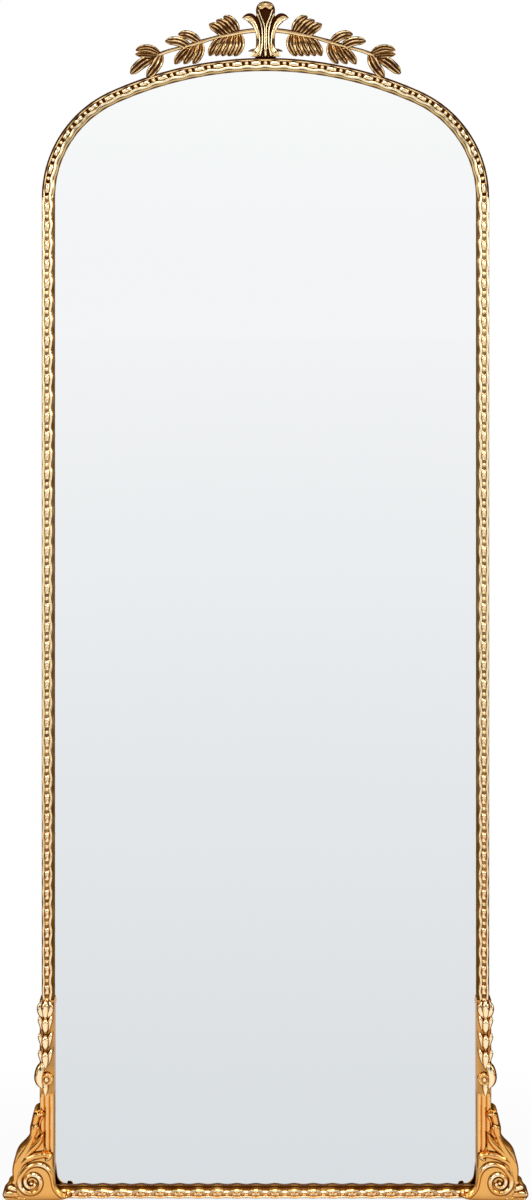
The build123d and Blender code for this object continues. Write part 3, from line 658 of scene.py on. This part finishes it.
def foot_place(rows, widening=1.0):
    """Rows that start with a distance outward from the frame's edge, as x across the mirror."""
    rows = np.asarray(rows, float).copy()
    rows[:, 0] = -HALF_WIDTH - rows[:, 0]
    if rows.shape[1] > 2:
        rows[:, 2] *= widening
    return rows


def crown_place(rows, side=1):
    """Rows that start with a distance aside and a height above the arch's top, as x and z."""
    rows = np.array(rows, float)
    rows[:, 0] *= side
    rows[:, 1] += ARCH_TOP
    return rows


# Settings
COLOUR = {"subtype": "COLOR", "size": 3, "min": 0, "max": 1}
LENGTH = {"subtype": "DISTANCE", "unit": "LENGTH"}


class MIRROR_PG_colours(bpy.types.PropertyGroup):
    """Colours of the gold and of its painted light and shade"""

    # Pale gold, partly painted reflection for the bright upper rims
    gold: bpy.props.FloatVectorProperty(
        name="Gold", description="Colour of the gold leaf on the upper pieces", **COLOUR, default=(0.97, 0.85, 0.64)
    )
    gold_warm: bpy.props.FloatVectorProperty(
        name="Warm gold", description="Redder gold leaf on the lower pieces", **COLOUR, default=(0.91, 0.68, 0.38)
    )
    # Colour of the painted highlights on the crests
    gold_highlight: bpy.props.FloatVectorProperty(
        name="Rubbed gold", description="Pale gold of the rubbed crests", **COLOUR, default=(1.0, 0.96, 0.83)
    )
    # Colour of the painted shade in the hollows
    painted_shade: bpy.props.FloatVectorProperty(
        name="Patina", description="Brown left in the hollows", **COLOUR, default=(0.27, 0.13, 0.045)
    )


class MIRROR_PG_moulding(bpy.types.PropertyGroup):
    """Sizes of the beaded moulding"""

    pitch: bpy.props.FloatProperty(
        name="Bead pitch", description="From one barrel to the next", **LENGTH, default=0.0275
    )
    barrel_length: bpy.props.FloatProperty(
        name="Barrel length", description="Length of a barrel bead", **LENGTH, default=0.0135
    )
    barrel_width: bpy.props.FloatProperty(
        name="Barrel width", description="Width of a barrel bead", **LENGTH, default=0.007
    )
    ball: bpy.props.FloatProperty(
        name="Ball", description="Diameter of the small ball between barrels", **LENGTH, default=0.0052
    )
    pinch: bpy.props.FloatProperty(
        name="Pinch", description="How far the rims come in between barrels", **LENGTH, default=0.0018
    )
    cove: bpy.props.FloatProperty(
        name="Cove", description="Width of the hollow between the inner rim and the glass", **LENGTH, default=0.0026
    )
    ring_width: bpy.props.FloatProperty(
        name="Ring width", description="Across a hanging ring, outside its wire", **LENGTH, default=0.0144
    )
    samples: bpy.props.IntProperty(
        name="Samples", description="Rows of points to each bead", default=22, min=8, max=48
    )


class MIRROR_PG_stage(bpy.types.PropertyGroup):
    """Camera and light"""

    distance: bpy.props.FloatProperty(
        name="Camera distance", description="From the frame to the camera", **LENGTH, default=3.5
    )
    height: bpy.props.FloatProperty(
        name="Camera height", description="Height of the camera above the floor", **LENGTH, default=1.35
    )
    frame_height: bpy.props.FloatProperty(
        name="Frame height", description="Height that the picture covers at the mirror", **LENGTH, default=1.7358
    )
    frame_centre: bpy.props.FloatProperty(
        name="Frame centre", description="Height of the picture's middle", **LENGTH, default=0.8643
    )
    sky_high: bpy.props.FloatVectorProperty(
        name="High", description="What the pane shows near its top", **COLOUR, default=(0.989, 0.995, 0.983)
    )
    sky_level: bpy.props.FloatVectorProperty(
        name="Level", description="What the pane shows at the camera's height", **COLOUR, default=(0.965, 0.966, 0.970)
    )
    floor_near: bpy.props.FloatVectorProperty(
        name="Near floor", description="What the pane shows near its bottom", **COLOUR, default=(0.863, 0.875, 0.886)
    )


class MIRROR_OT_moulding(bpy.types.Operator):
    """Beaded moulding of the arch, the stiles and the rail"""

    bl_idname = "mirror.moulding"
    bl_label = "Beaded moulding"

    def execute(self, context):
        sizes = context.scene.mirror_moulding
        gold = gilt(context.scene.mirror_colours)
        pitch = sizes.pitch / MM
        beads = round(ARCH_WALK / pitch)
        place = np.linspace(0, ARCH_WALK, beads * sizes.samples + 1)
        turn = place / ARCH_WALK * beads + 0.5
        # Arch: deep painted shade between the beads and over the outer rim, the cove light in its middle and dark at
        # its edges
        tones = {"lowest": 0.08, "hollow": 0.5, "shaded": 0.9}
        head = beaded_piece(
            "arch_moulding", "head_moulding", arch_run, place, turn, FACE_WIDTH, FLANGE_WIDTH, SIGHT_WAVE, gold, sizes,
            tones
        )
        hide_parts("head_moulding")

        beads = round((SPRING_Z - PILASTER_TOP) / pitch)
        upper = np.linspace(PILASTER_TOP, SPRING_Z, beads * sizes.samples + 1)
        pilaster = np.linspace(PILASTER_BOTTOM + 1.0, PILASTER_TOP - 0.6, 90)
        place = np.concatenate([[RAIL_BOTTOM, PILASTER_BOTTOM - 0.6, PILASTER_BOTTOM], pilaster, upper])
        turn = (place - PILASTER_TOP) / (SPRING_Z - PILASTER_TOP) * beads + 0.5
        edge, inwards = stile_run(place)
        relief, light_and_shade = bead_relief(turn[:, None], SHARES[None, :], FACE_WIDTH, sizes)
        on_pilaster = (place >= PILASTER_BOTTOM - 0.1) & (place < PILASTER_TOP)
        outer_q = np.where(on_pilaster, -PILASTER_WIDENING, 0.0)
        q = outer_q[:, None] + SHARES[None, :] * (FACE_WIDTH - outer_q[:, None])
        reed = dome(((q + PILASTER_WIDENING) / REED_PITCH) % 1.0 - 0.5, 0.5)
        panel = 2.2 - 1.2 * ease(5.0, 8.5, np.abs(q - PILASTER_AXIS))
        above = ease(REEDS_TOP - 2, REEDS_TOP + 6, place)[:, None]
        dressed = reed * REED_HEIGHT * (1 - above) + panel * above
        # Reeds painted light on their crests and dark between them; the panel above one middle tone
        dressed_shading = np.where(above < 0.5, 0.2 + 0.55 * reed, 0.36)
        plain = (place < PILASTER_BOTTOM)[:, None]
        relief = np.where(plain, 0.4, np.where(on_pilaster[:, None], dressed, relief))
        light_and_shade = np.where(plain, 0.3, np.where(on_pilaster[:, None], dressed_shading, light_and_shade))
        wave = np.where(place >= PILASTER_TOP, SIGHT_WAVE * (1 - nearness(turn)), 0.0)
        points, crest = moulding(edge, inwards, relief, light_and_shade, outer_q, FACE_WIDTH, FLANGE_WIDTH, wave)
        quads, caps = tube_faces(points)
        make_pair("stile_moulding", "stile", points, quads, gold, crest, caps, 50.0)

        length = 2 * (HALF_WIDTH - FACE_WIDTH)
        beads = round(RAIL_BEADS / pitch)
        place = np.linspace(-length / 2, length / 2, int(length / RAIL_BEADS * beads * sizes.samples))
        turn = (place + RAIL_BEADS / 2) / RAIL_BEADS * beads + 0.5
        # Rail: little painted shade between the beads, the cove in full painted shade
        tones = {"lowest": 0.45, "hollow": 0.15}
        rail = beaded_piece(
            "rail_moulding", "bottom_rail", rail_run, place, turn, RAIL_FACE, RAIL_FLANGE, RAIL_WAVE, gold, sizes,
            tones
        )
        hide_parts("bottom_rail")
        return {"FINISHED"}


LEAF_WIDENING = 1.25
FOOT_OUTER = [
    (-35.2, 15.4), (-39.6, 15.4), (-43, 12.6), (-42, 8), (-36, 3), (-26, 0.6), (-14, 0), (0, 0),
    (20, 0), (38, 0), (50, 0.6), (56.2, 9), (50.8, 16.6), (48.6, 22.5), (43, 26.5), (42, 40),
    (41, 52), (38, 63), (33, 71.5), (24, 80.5), (18.5, 89), (16.9, 97), (16.6, 106), (14.2, 116),
    (13, 122), (10.5, 128), (5, 131), (0.9, 131.5),
]
FOOT_INNER = [
    (-34.6, 14.4), (-35, 12.6), (-35, 11.2), (-34.2, 10.4), (-31.5, 11), (-26, 14.5), (-21.5, 20), (-19.8, 27),
    (-19, 34), (-18.4, 40), (-17.6, 45), (-16.8, 50), (-16.4, 55), (-16.4, 59), (-16.2, 63), (-15, 67),
    (-12, 69.8), (-8, 72), (-4.5, 76.5), (-3.5, 84), (-3.8, 91), (-3, 98), (1, 101), (2.5, 106),
    (0.5, 112), (-3, 119), (-4.5, 126), (-1.5, 130.2),
]


class MIRROR_OT_feet(bpy.types.Operator):
    """Scrolled feet with acanthus leaves climbing the stiles"""

    bl_idname = "mirror.feet"
    bl_label = "Scrolled feet"

    def execute(self, context):
        gold = gilt(context.scene.mirror_colours)
        # The volute: a line that winds out from the eye, narrower and higher near it
        turns = np.linspace(-1.55, 0.0, 30)
        radius = 18.7 + 8.6 * turns
        angle = math.radians(46.7) + 2 * np.pi * turns
        x, z = 14.0 + radius * np.cos(angle), 27.2 + radius * np.sin(angle)
        scroll = np.column_stack([x, z, 3.1 + 0.11 * radius, 8.6 - 0.08 * radius]).tolist()
        scroll += [
            (18.5, 49.2, 4.4, 7.2), (7, 53.4, 4.4, 7.6), (-3.2, 51.6, 4.4, 7.8), (-10.6, 45.8, 4.2, 7.8),
            (-14.8, 37.5, 4, 7.6), (-16.6, 27.6, 3.8, 7.4), (-19.2, 18, 3.8, 7.4), (-25.2, 10.4, 4, 7.2),
            (-33, 6.4, 4, 7), (-39, 8.6, 3.6, 7.4), (-38.6, 12, 3, 8),
        ]
        strokes = [(foot_place(rows), count) for rows, count in (
            ([(14, 27.2, 31, 5.2), (14.5, 27.2, 31, 5.2)], 2),
            ([(30, 12, 14, 5), (32, 40, 13, 5.4), (25, 64, 11, 5.8), (13, 88, 8, 6.2)], 60),
            (scroll, 420),
            ([(14, 27.2, 3.4, 10.5), (14.3, 27.2, 3.4, 10.5)], 2),
        )]
        strokes += [(foot_place(rows, LEAF_WIDENING), count) for rows, count in (
            ([
                (38.5, 28, 4.5, 6.4), (36, 48, 6, 7.6), (30, 62, 6.2, 8.4), (22, 75, 5.6, 8.8), (15.5, 87, 4.8, 8.8),
                (11.5, 96, 3.2, 8.2)
            ], 140),
            ([
                (24, 62, 3.2, 7.2), (15, 74, 4.6, 9.2), (7, 82, 4.6, 9.8), (1, 89.5, 3.8, 9.8), (-1.6, 95, 2.4, 9.2)
            ], 100),
            ([
                (31.5, 45, 2.8, 6.4), (29.4, 51.9, 3.6, 7.6), (21.2, 60.6, 4.4, 9.2), (11, 65.2, 4.6, 9.8),
                (1.9, 67, 4.6, 10.2), (-7, 67.6, 4, 10.6), (-12, 64.2, 3, 10.6), (-8.5, 61.5, 2.4, 9.6)
            ], 150),
            ([(13, 93, 3.5, 7.6), (10.5, 101, 5.2, 9.6), (9.4, 106.6, 4.8, 10.6), (7.6, 110, 3, 10.2)], 60),
            ([(7, 94, 2.4, 7.2), (3.6, 100, 2.4, 8.8), (4.6, 107, 2.2, 9.2)], 50),
            ([
                (9.4, 110, 3.5, 7.6), (8.2, 119, 5.4, 9.8), (5.8, 125, 5.4, 11.2), (1.4, 127, 4, 11.8),
                (-1.2, 126.6, 2.6, 11.2)
            ], 70),
            ([(1.8, 109, 2.4, 6.8), (0.2, 116, 2.8, 8.2), (-1, 121, 2.4, 8.6)], 40),
            ([(38, 17, 3.5, 6.4), (43.5, 19.5, 4, 7.6), (46.5, 20.5, 3, 7.6)], 30),
            ([(36, 9, 4.4, 6.4), (47, 10.5, 4.8, 8.2), (52.5, 11, 3.8, 8.4)], 40),
            ([(26, 2.6, 3.6, 5.6), (42, 3, 3.8, 6.6), (50, 3.6, 3.4, 6.8)], 40),
        )]

        def rear(x, z):
            """Back of the foot: level with the stile's back outside the stile, shallow in front of it."""
            outward = -HALF_WIDTH - x
            deep = ease(0.2, 2.6, outward - 2.0 * (z > PILASTER_BOTTOM))
            return x, -6.6 + 24.4 * deep, z

        outer, inner = foot_place(FOOT_OUTER), foot_place(FOOT_INNER)
        points, crest = carved_plate(outer, inner, strokes, base_y=FOOT_Y, rear=rear, base=4.0, rows=320, columns=130)
        quads, caps = tube_faces(points)
        make_pair("scroll_foot", "foot", points, quads, gold, crest, caps, 60.0)
        return {"FINISHED"}


class MIRROR_OT_drops(bpy.types.Operator):
    """Husk drops and rosettes on the pilasters"""

    bl_idname = "mirror.drops"
    bl_label = "Husk drops and rosettes"

    def execute(self, context):
        gold = gilt(context.scene.mirror_colours)
        centre = -(HALF_WIDTH - PILASTER_AXIS)
        back = CREST_Y + 1.0

        def husk(rows, side=1.0, thickness=6.0, side_shade=0.0):
            """Leaf on the drop's own middle line, 1.6 mm outside the rosette's."""
            rows = np.asarray(rows, float).copy()
            rows[:, 0] = centre - 1.6 + side * rows[:, 0]
            return shaped_leaf(rows, back, thickness, side_shade=side_shade)

        leaves = [
            # The curl beside the rosette is painted darker down one side by its side shade
            husk([
                (1, 199, 3, 2, 1.5), (-5, 195, 5.5, 4.5, 3.6), (-8.6, 186, 6.6, 6.5, 5), (-9.4, 175, 6.2, 6, 4.6),
                (-6.6, 166, 3.6, 4, 2.6), (-4, 161.5, 0.5, 2.5, 1)
            ], side_shade=0.35),
            husk([
                (0, 170, 4.5, 3, 2), (0, 160, 4, 4, 2.6), (0, 153, 1.6, 3, 1.4), (0, 150, 0.3, 2, 0.8)
            ], thickness=4.0),
            husk([
                (0, 260, 2.5, 2, 2), (0, 268, 4.6, 6, 3.2), (0, 278, 5.6, 8, 3.6), (0, 285.5, 4.2, 7, 2.4),
                (0, 289, 1, 5, 1)
            ]),
        ]
        leaves += [husk(side=side, rows=[
            (1, 262, 2.5, 2, 1.5), (4.6, 268, 4.4, 4.5, 3), (7.4, 275, 4.6, 6, 3.2), (8, 282, 3.4, 5.5, 2.4),
            (5.6, 287, 1, 4, 1.2)
        ]) for side in (-1, 1)]
        for number in range(3):
            top = HUSKS_TOP - HUSK_PITCH * number
            leaves.append(husk([
                (0, top - 27, 0.8, 1.5, 0.8), (0, top - 19, 4.2, 4.5, 2.6), (0, top - 10, 5.8, 7.5, 3.4),
                (0, top - 4, 4.6, 7.5, 2.8), (0, top - 1, 1.2, 5, 1.2)
            ]))
            leaves += [husk(side=side, rows=[
                (1.2, top - 24, 0.8, 1.2, 0.8), (4.2, top - 15, 3, 4, 2.2), (6.6, top - 6, 3.6, 6.5, 2.8),
                (7.8, top - 1, 3, 7.5, 2.4), (8.4, top + 2.5, 0.9, 6, 1)
            ]) for side in (-1, 1)]
        points, quads, crest, caps = stack_leaves(leaves)
        make_pair("husk_drop", "drop", points, quads, gold, crest, caps, 50.0)

        # The rosette: a dished disc with a ring of eight petals and a button
        r = np.linspace(0, 1, 20)[:, None]
        a = np.linspace(0, 2 * np.pi, 96, endpoint=False)[None, :]
        petals = 0.5 + 0.5 * np.cos(8 * a)
        reach = 9.8 * (0.95 + 0.05 * petals)
        ring = np.exp(-(((r - 0.78) / 0.22) ** 2)) * (0.7 + 0.3 * petals)
        button = dome(r, 0.36)
        height = (4.2 + 1.8 * ring) * dome(r, 1.02) ** 0.6 + 2.8 * button
        # Painted highlights on the ring of petals and the button, painted shade between them
        shading = np.clip(0.25 + 0.6 * ring + 0.9 * button, 0, 1)
        face = np.stack([centre + r * reach * np.cos(a), CREST_Y - height, ROSETTE_Z + r * reach * np.sin(a)], -1)
        back = face[::-1].copy()
        back[..., 1] = CREST_Y + 1.5
        points = np.concatenate([face, back[:1]], 0)
        crest = np.concatenate([shading, np.full_like(shading[-1:], 0.3)], 0)
        quads, caps = tube_faces(points)
        make_pair("petal_rosette", "rosette", points, quads, gold, crest, caps[1:], 60.0)
        return {"FINISHED"}


class MIRROR_OT_plume(bpy.types.Operator):
    """Plume at the middle of the crown"""

    bl_idname = "mirror.plume"
    bl_label = "Crown plume"

    def execute(self, context):
        gold = gilt(context.scene.mirror_colours)
        outline = [
            (15, 0.3), (16, 4), (15, 10), (14, 16), (13.6, 24), (14, 33), (15.5, 42), (16.5, 50),
            (15.2, 57), (13.4, 62), (13.9, 68), (12.6, 74.5), (8.5, 79.8), (0.6, 82),
        ]
        strokes = [(crown_place(rows, side), 300) for side in (-1, 1) for rows in (
            [
                (9.8, 68.5, 1.9, 8.6), (7.6, 62, 1.9, 8.2), (4.6, 54.5, 1.8, 7.8), (1.6, 46, 1.7, 7.6),
                (0.9, 36, 1.7, 7.4), (1, 22, 1.7, 7.2), (1.2, 12, 1.6, 7)
            ],
            [
                (12, 62.5, 1.8, 7.2), (8.6, 54.5, 1.8, 7.2), (5.6, 44, 1.8, 7.2), (4.6, 34, 1.8, 7.2),
                (4.8, 20, 1.8, 7.2), (6.2, 10, 1.9, 7.2), (8, 2.5, 2, 6.8)
            ],
            [
                (12.8, 46.3, 1.8, 6.8), (9.6, 36, 1.8, 6.8), (8.6, 26, 1.8, 6.8), (9, 17, 1.8, 6.8),
                (11.6, 11, 2, 6.4), (15, 7, 2, 5.6)
            ],
        )]
        strokes += [(crown_place(rows), 30) for rows in (
            [(0, 2.5, 2.8, 7.8), (0, 8, 2.6, 8.2), (0, 15, 0.8, 6.4)],
            [(-6, 73.5, 5.6, 8.8), (0, 76, 5.4, 9.6), (6, 73.5, 5.6, 8.8)],
        )]
        # The plume's ground is painted in dark brown shade, with painted highlights only on its ridges
        points, crest = carved_plate(
            crown_place(outline, -1), crown_place(outline), strokes, base_y=PLUME_Y,
            rear=lambda x, z: (x, np.full_like(x, 2.0), z), base=3.2, rows=260, columns=130, edge=3.0,
            shading=(30, 1.8, 0.12)
        )
        # Side leaves: the large one painted darker down one side, the small one under it wholly in painted shade, the
        # flare at the bottom plain
        leaves = [
            shaped_leaf(crown_place(rows, side), CROWN_LEAF_Y, 3.0, dish, dark, -side_shade * side)
            for side in (-1, 1) for rows, dish, dark, side_shade in (
                ([
                    (10, 28, 3, 2, 2), (11.5, 40, 4.2, 4, 3), (16, 50.5, 6, 6, 3.6), (22, 57, 7, 7.5, 3.8),
                    (28, 58, 4.6, 7.5, 2.8), (33.2, 56.8, 0.9, 6.5, 1.2)
                ], 0.5, 0, 0.75),
                ([
                    (8.6, 24, 2.2, 2, 1.6), (9.4, 16, 2.6, 2.5, 1.8), (13, 11.8, 2.4, 2.5, 1.6),
                    (18.5, 11, 2, 2.5, 1.4), (24.5, 9.6, 0.8, 1.5, 0.8)
                ], 0, 0.7, 0),
                ([
                    (8, 20, 3, 2.5, 1.8), (10.5, 10.5, 4.8, 4, 2.6), (14.5, 6, 5, 5, 2.6), (19.5, 3.6, 2.4, 4.5, 1.4),
                    (22, 2.6, 0.6, 4, 0.8)
                ], 0.3, 0, 0),
            )
        ]
        points, quads, crest, caps = stack_leaves([(points, crest)] + leaves)

        # The block behind the plume that its bracket holds
        corners = [(-7, 10), (7, 10), (7, 36), (-7, 36)]
        block = [(x, y, ARCH_TOP + z) for y in (1.0, BACK_Y) for x, z in corners]
        sides = [(0, 1, 2, 3), (7, 6, 5, 4), (0, 4, 5, 1), (1, 5, 6, 2), (2, 6, 7, 3), (3, 7, 4, 0)]
        quads = np.concatenate([quads, np.array(sides) + len(points)])
        points = np.concatenate([points, np.array(block, float)])
        crest = np.concatenate([crest, np.full(8, 0.4)])
        plume = make_piece("palm_plume", points, quads, gold, "crown_plume", crest=crest, caps=caps, smooth=55.0)
        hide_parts("crown_plume")
        return {"FINISHED"}


class MIRROR_OT_sprays(bpy.types.Operator):
    """Laurel sprays on their stems, either side of the plume"""

    bl_idname = "mirror.sprays"
    bl_label = "Laurel sprays"

    def execute(self, context):
        gold = gilt(context.scene.mirror_colours)
        stem = spline([
            (-12, 40, 3.6), (-38, 36.6, 3.6), (-44, 35.2, 3.8), (-60, 32, 3.2), (-90, 24.2, 3.2), (-97, 22, 3.6),
            (-110, 18, 3), (-146, 8, 2.9), (-156, 4, 3)
        ], 90)
        rows = np.column_stack([stem[:, 0], np.full(90, STEM_Y), ARCH_TOP + stem[:, 1], stem[:, 2]])
        leaves = [tube_grid(rows)]
        for roots, tips, count, widths, bows, rises in (
            ([(-40, 36.5), (-56, 30.5)], [(-60.5, 60), (-81.5, 49)], 3, (7, 7), (-3, -1.5), (7, 3.5)),
            ([(-38.5, 35), (-62, 29.5)], [(-45, 2.5), (-81, 2.8)], 5, (6.8, 6.6), (5, -2), (7.5, 3.5)),
            ([(-94, 21.5), (-107, 13.5)], [(-126, 34), (-145, 24)], 2, (6.8, 7), (-4, -4.5), (6.5, 4)),
            ([(-93, 22), (-109, 15)], [(-105, -8.5), (-131, -9)], 3, (6.2, 6.4), (4, -1.5), (7, 3.5)),
            ([(-152, 6), (-157, 3.5)], [(-187.5, 11), (-188, 5.5)], 2, (5.4, 4.6), (-5.2, 0), (6.5, 4)),
            ([(-150, 5.5), (-161, 2)], [(-171.5, -28), (-195, -23)], 2, (8, 7.8), (2.5, -2), (7, 4)),
        ):
            leaves += fan_of_leaves(roots, tips, count, widths, bows, rises)
        points, quads, crest, caps = stack_leaves(leaves)
        make_pair("laurel_spray", "spray", points, quads, gold, crest, caps, 50.0)
        return {"FINISHED"}


def dress_node(name, material):
    """Puts a finish on a CAD node's own slots."""
    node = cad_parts[name]
    if not node.data.materials:
        node.data.materials.append(material)
    for number in range(len(node.data.materials)):
        node.data.materials[number] = material


class MIRROR_OT_pane(bpy.types.Operator):
    """Silvered pane with its tape and setting blocks"""

    bl_idname = "mirror.pane"
    bl_label = "Pane"

    def execute(self, context):
        dress_node("mirror_glass", mirror_silver())
        dress_node("glass_tape", brown_tape())
        dress_node("setting_blocks", dark_rubber())
        return {"FINISHED"}


class MIRROR_OT_back(bpy.types.Operator):
    """Board, plates, clips, screws, hangers and pads behind the frame"""

    bl_idname = "mirror.back"
    bl_label = "Back"

    def execute(self, context):
        dress_node("backing_board", fibreboard())
        dress_node("wall_bumpers", dark_rubber())
        for name in (
            "backing_clips", "splice_plates", "corner_plates", "joint_screws", "foot_plates", "crown_bracket",
            "left_hanger_strap", "right_hanger_strap", "hanger_screws",
        ):
            dress_node(name, zinc_plate())
        return {"FINISHED"}


class MIRROR_OT_rings(bpy.types.Operator):
    """Wire rings that the mirror hangs from"""

    bl_idname = "mirror.rings"
    bl_label = "Hanging rings"

    def execute(self, context):
        half = context.scene.mirror_moulding.ring_width / MM / 2
        turn = np.linspace(0, 2 * np.pi, 73)
        across, up = np.cos(turn), np.sin(turn)
        for side in ("left", "right"):
            low, high = (np.array(corner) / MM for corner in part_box(side + "_ring"))
            wire = (high[1] - low[1]) / 2
            middle = (low + high) / 2
            tall = (high[2] - low[2]) / 2 - wire
            path = np.stack([
                middle[0] + (half - wire) * np.sign(across) * np.abs(across) ** 0.5,
                np.full_like(turn, middle[1]),
                middle[2] + tall * np.sign(up) * np.abs(up) ** 0.5,
            ], -1)
            points = wire_loop(path, wire)
            node = side + "_ring"
            quads = grid_quads(*points.shape[:2], True)
            ring = make_piece(side + "_wire_ring", points, quads, zinc_plate(), node, node, smooth=60.0)
            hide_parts(node)
        return {"FINISHED"}


class MIRROR_OT_stage(bpy.types.Operator):
    """Floor, world, lamps and camera"""

    bl_idname = "mirror.stage"
    bl_label = "Stage"

    def execute(self, context):
        settings = context.scene.mirror_stage
        scene = context.scene
        near = to_linear(settings.floor_near)
        level = to_linear(settings.sky_level)
        high = to_linear(settings.sky_high)

        mesh = bpy.data.meshes.new("studio_floor")
        size, drop = 40.0, -0.0005
        corners = [(-size, -size, drop), (size, -size, drop), (size, size, drop), (-size, size, drop)]
        mesh.from_pydata(corners, [], [(0, 1, 2, 3)])
        floor = bpy.data.objects.new("studio_floor", mesh)
        scene.collection.objects.link(floor)
        material = bpy.data.materials.new("studio_floor")
        paint = Finish(material)
        rays = paint.node("ShaderNodeLightPath", out="Is Camera Ray")
        glossy = paint.node("ShaderNodeLightPath", out="Is Glossy Ray")
        sharp = paint.node("ShaderNodeLightPath", out="Is Singular Ray")
        along = paint.axis("Y")
        gap = along.maths("MAXIMUM", along * -1.0, 0.0)
        aside = abs(paint.axis("X"))
        # The gold sees a warm floor with a dark stripe on either side, the pane a pale gradient
        dusk = aside.ease(0.85, 1.1) * (1.0 - aside.ease(1.7, 2.2))
        lit = paint.mix(gap.ease(0.0, 0.05), to_linear((0.6, 0.45, 0.3)), (1.05, 1.02, 0.97))
        lit = paint.mix(dusk, lit, to_linear((0.36, 0.28, 0.2)))
        seen = paint.mix(1.0 - 1.0 / (1.0 + gap / 4.0), near, level)
        seen = paint.mix(sharp, lit, seen)
        colour = paint.mix(glossy, (1.0, 1.0, 1.0), seen)
        shade = paint.node("ShaderNodeBsdfDiffuse", None, (0.86, 0.86, 0.86))
        glow = paint.node("ShaderNodeEmission", None, colour, 1.0)
        part = rays * (0.9 + abs(along).ease(0.1, 0.7) * 0.1) + glossy
        surface = paint.node("ShaderNodeMixShader", None, part, shade, glow)
        paint.node("ShaderNodeOutputMaterial", None, surface)
        mesh.materials.append(material)

        world = bpy.data.worlds.new("studio")
        scene.world = world
        sky = Finish(world)
        up = sky.axis("Z", "Generated")
        wide = abs(sky.axis("X", "Generated"))
        pane = sky.mix(up.ease(0.0, 0.12), level, high)
        # The gold sees dark cards between bright strips: one overhead and one on either side
        dark = to_linear((0.22, 0.13, 0.07))
        around = (1.02, 1.0, 0.96)
        for value, start, end, tone in (
            (up, 0.12, 0.2, dark), (up, 0.44, 0.5, (1.6, 1.55, 1.45)), (up, 0.58, 0.66, dark),
            (wide, 0.33, 0.4, (1.5, 1.46, 1.4)), (wide, 0.52, 0.6, dark), (wide, 0.84, 0.92, (0.9, 0.88, 0.84)),
        ):
            around = sky.mix(value.ease(start, end), around, tone)
        glossy = sky.node("ShaderNodeLightPath", out="Is Glossy Ray")
        sharp = sky.node("ShaderNodeLightPath", out="Is Singular Ray")
        camera = sky.node("ShaderNodeLightPath", out="Is Camera Ray")
        around = sky.mix(sharp, around, pane)
        seen = sky.mix(glossy, (0.62, 0.62, 0.62), around)
        seen = sky.mix(camera, seen, (1.0, 1.0, 1.0))
        lit = sky.node("ShaderNodeBackground", None, seen, 1.0)
        sky.node("ShaderNodeOutputWorld", None, lit)

        for name, place, size, power in (
            ("left_softbox", (-2.6, -2.4, 2.3), 1.2, 26),
            ("right_softbox", (2.6, -2, 1.8), 1.1, 20),
            ("top_softbox", (0, -1.6, 3.6), 1.4, 30),
        ):
            lamp = bpy.data.lights.new(name, "AREA")
            lamp.shape = "SQUARE"
            lamp.size = size
            lamp.energy = power
            holder = bpy.data.objects.new(name, lamp)
            holder.location = place
            aim = Vector((0.0, 0.0, 0.9)) - Vector(place)
            holder.rotation_euler = aim.to_track_quat("-Z", "Y").to_euler()
            scene.collection.objects.link(holder)

        camera = bpy.data.cameras.new("camera")
        camera.sensor_fit = "VERTICAL"
        camera.sensor_height = 36.0
        camera.lens = 36.0 * settings.distance / settings.frame_height
        camera.shift_y = (settings.frame_centre - settings.height) / settings.frame_height
        eye = bpy.data.objects.new("camera", camera)
        eye.location = (0.0, -settings.distance, settings.height)
        eye.rotation_euler = (math.pi / 2, 0.0, 0.0)
        scene.collection.objects.link(eye)
        scene.camera = eye
        scene.view_settings.view_transform = "Standard"
        return {"FINISHED"}


class MIRROR_PT_panel(bpy.types.Panel):
    """Sizes, colours and pieces of the mirror"""

    bl_idname = "MIRROR_PT_panel"
    bl_label = "Gilt wall mirror"
    bl_space_type = "VIEW_3D"
    bl_region_type = "UI"
    bl_category = "Mirror"

    def draw(self, context):
        for group in ("mirror_colours", "mirror_moulding", "mirror_stage"):
            box = self.layout.box()
            settings = getattr(context.scene, group)
            for name in settings.bl_rna.properties.keys():
                if name not in ("rna_type", "name"):
                    box.prop(settings, name)
        for operator in PIECES:
            self.layout.operator(operator.bl_idname)


PIECES = (
    MIRROR_OT_moulding, MIRROR_OT_feet, MIRROR_OT_drops, MIRROR_OT_plume, MIRROR_OT_sprays, MIRROR_OT_pane,
    MIRROR_OT_back, MIRROR_OT_rings, MIRROR_OT_stage,
)
CLASSES = (MIRROR_PG_colours, MIRROR_PG_moulding, MIRROR_PG_stage, *PIECES, MIRROR_PT_panel)


def register():
    for cls in CLASSES:
        bpy.utils.register_class(cls)
    bpy.types.Scene.mirror_colours = bpy.props.PointerProperty(type=MIRROR_PG_colours)
    bpy.types.Scene.mirror_moulding = bpy.props.PointerProperty(type=MIRROR_PG_moulding)
    bpy.types.Scene.mirror_stage = bpy.props.PointerProperty(type=MIRROR_PG_stage)


def unregister():
    del bpy.types.Scene.mirror_stage
    del bpy.types.Scene.mirror_moulding
    del bpy.types.Scene.mirror_colours
    for cls in reversed(CLASSES):
        bpy.utils.unregister_class(cls)


def main():
    register()
    bpy.ops.mirror.moulding()
    bpy.ops.mirror.feet()
    bpy.ops.mirror.drops()
    bpy.ops.mirror.plume()
    bpy.ops.mirror.sprays()
    bpy.ops.mirror.pane()
    bpy.ops.mirror.back()
    bpy.ops.mirror.rings()
    bpy.ops.mirror.stage()


if __name__ == "__main__":
    main()
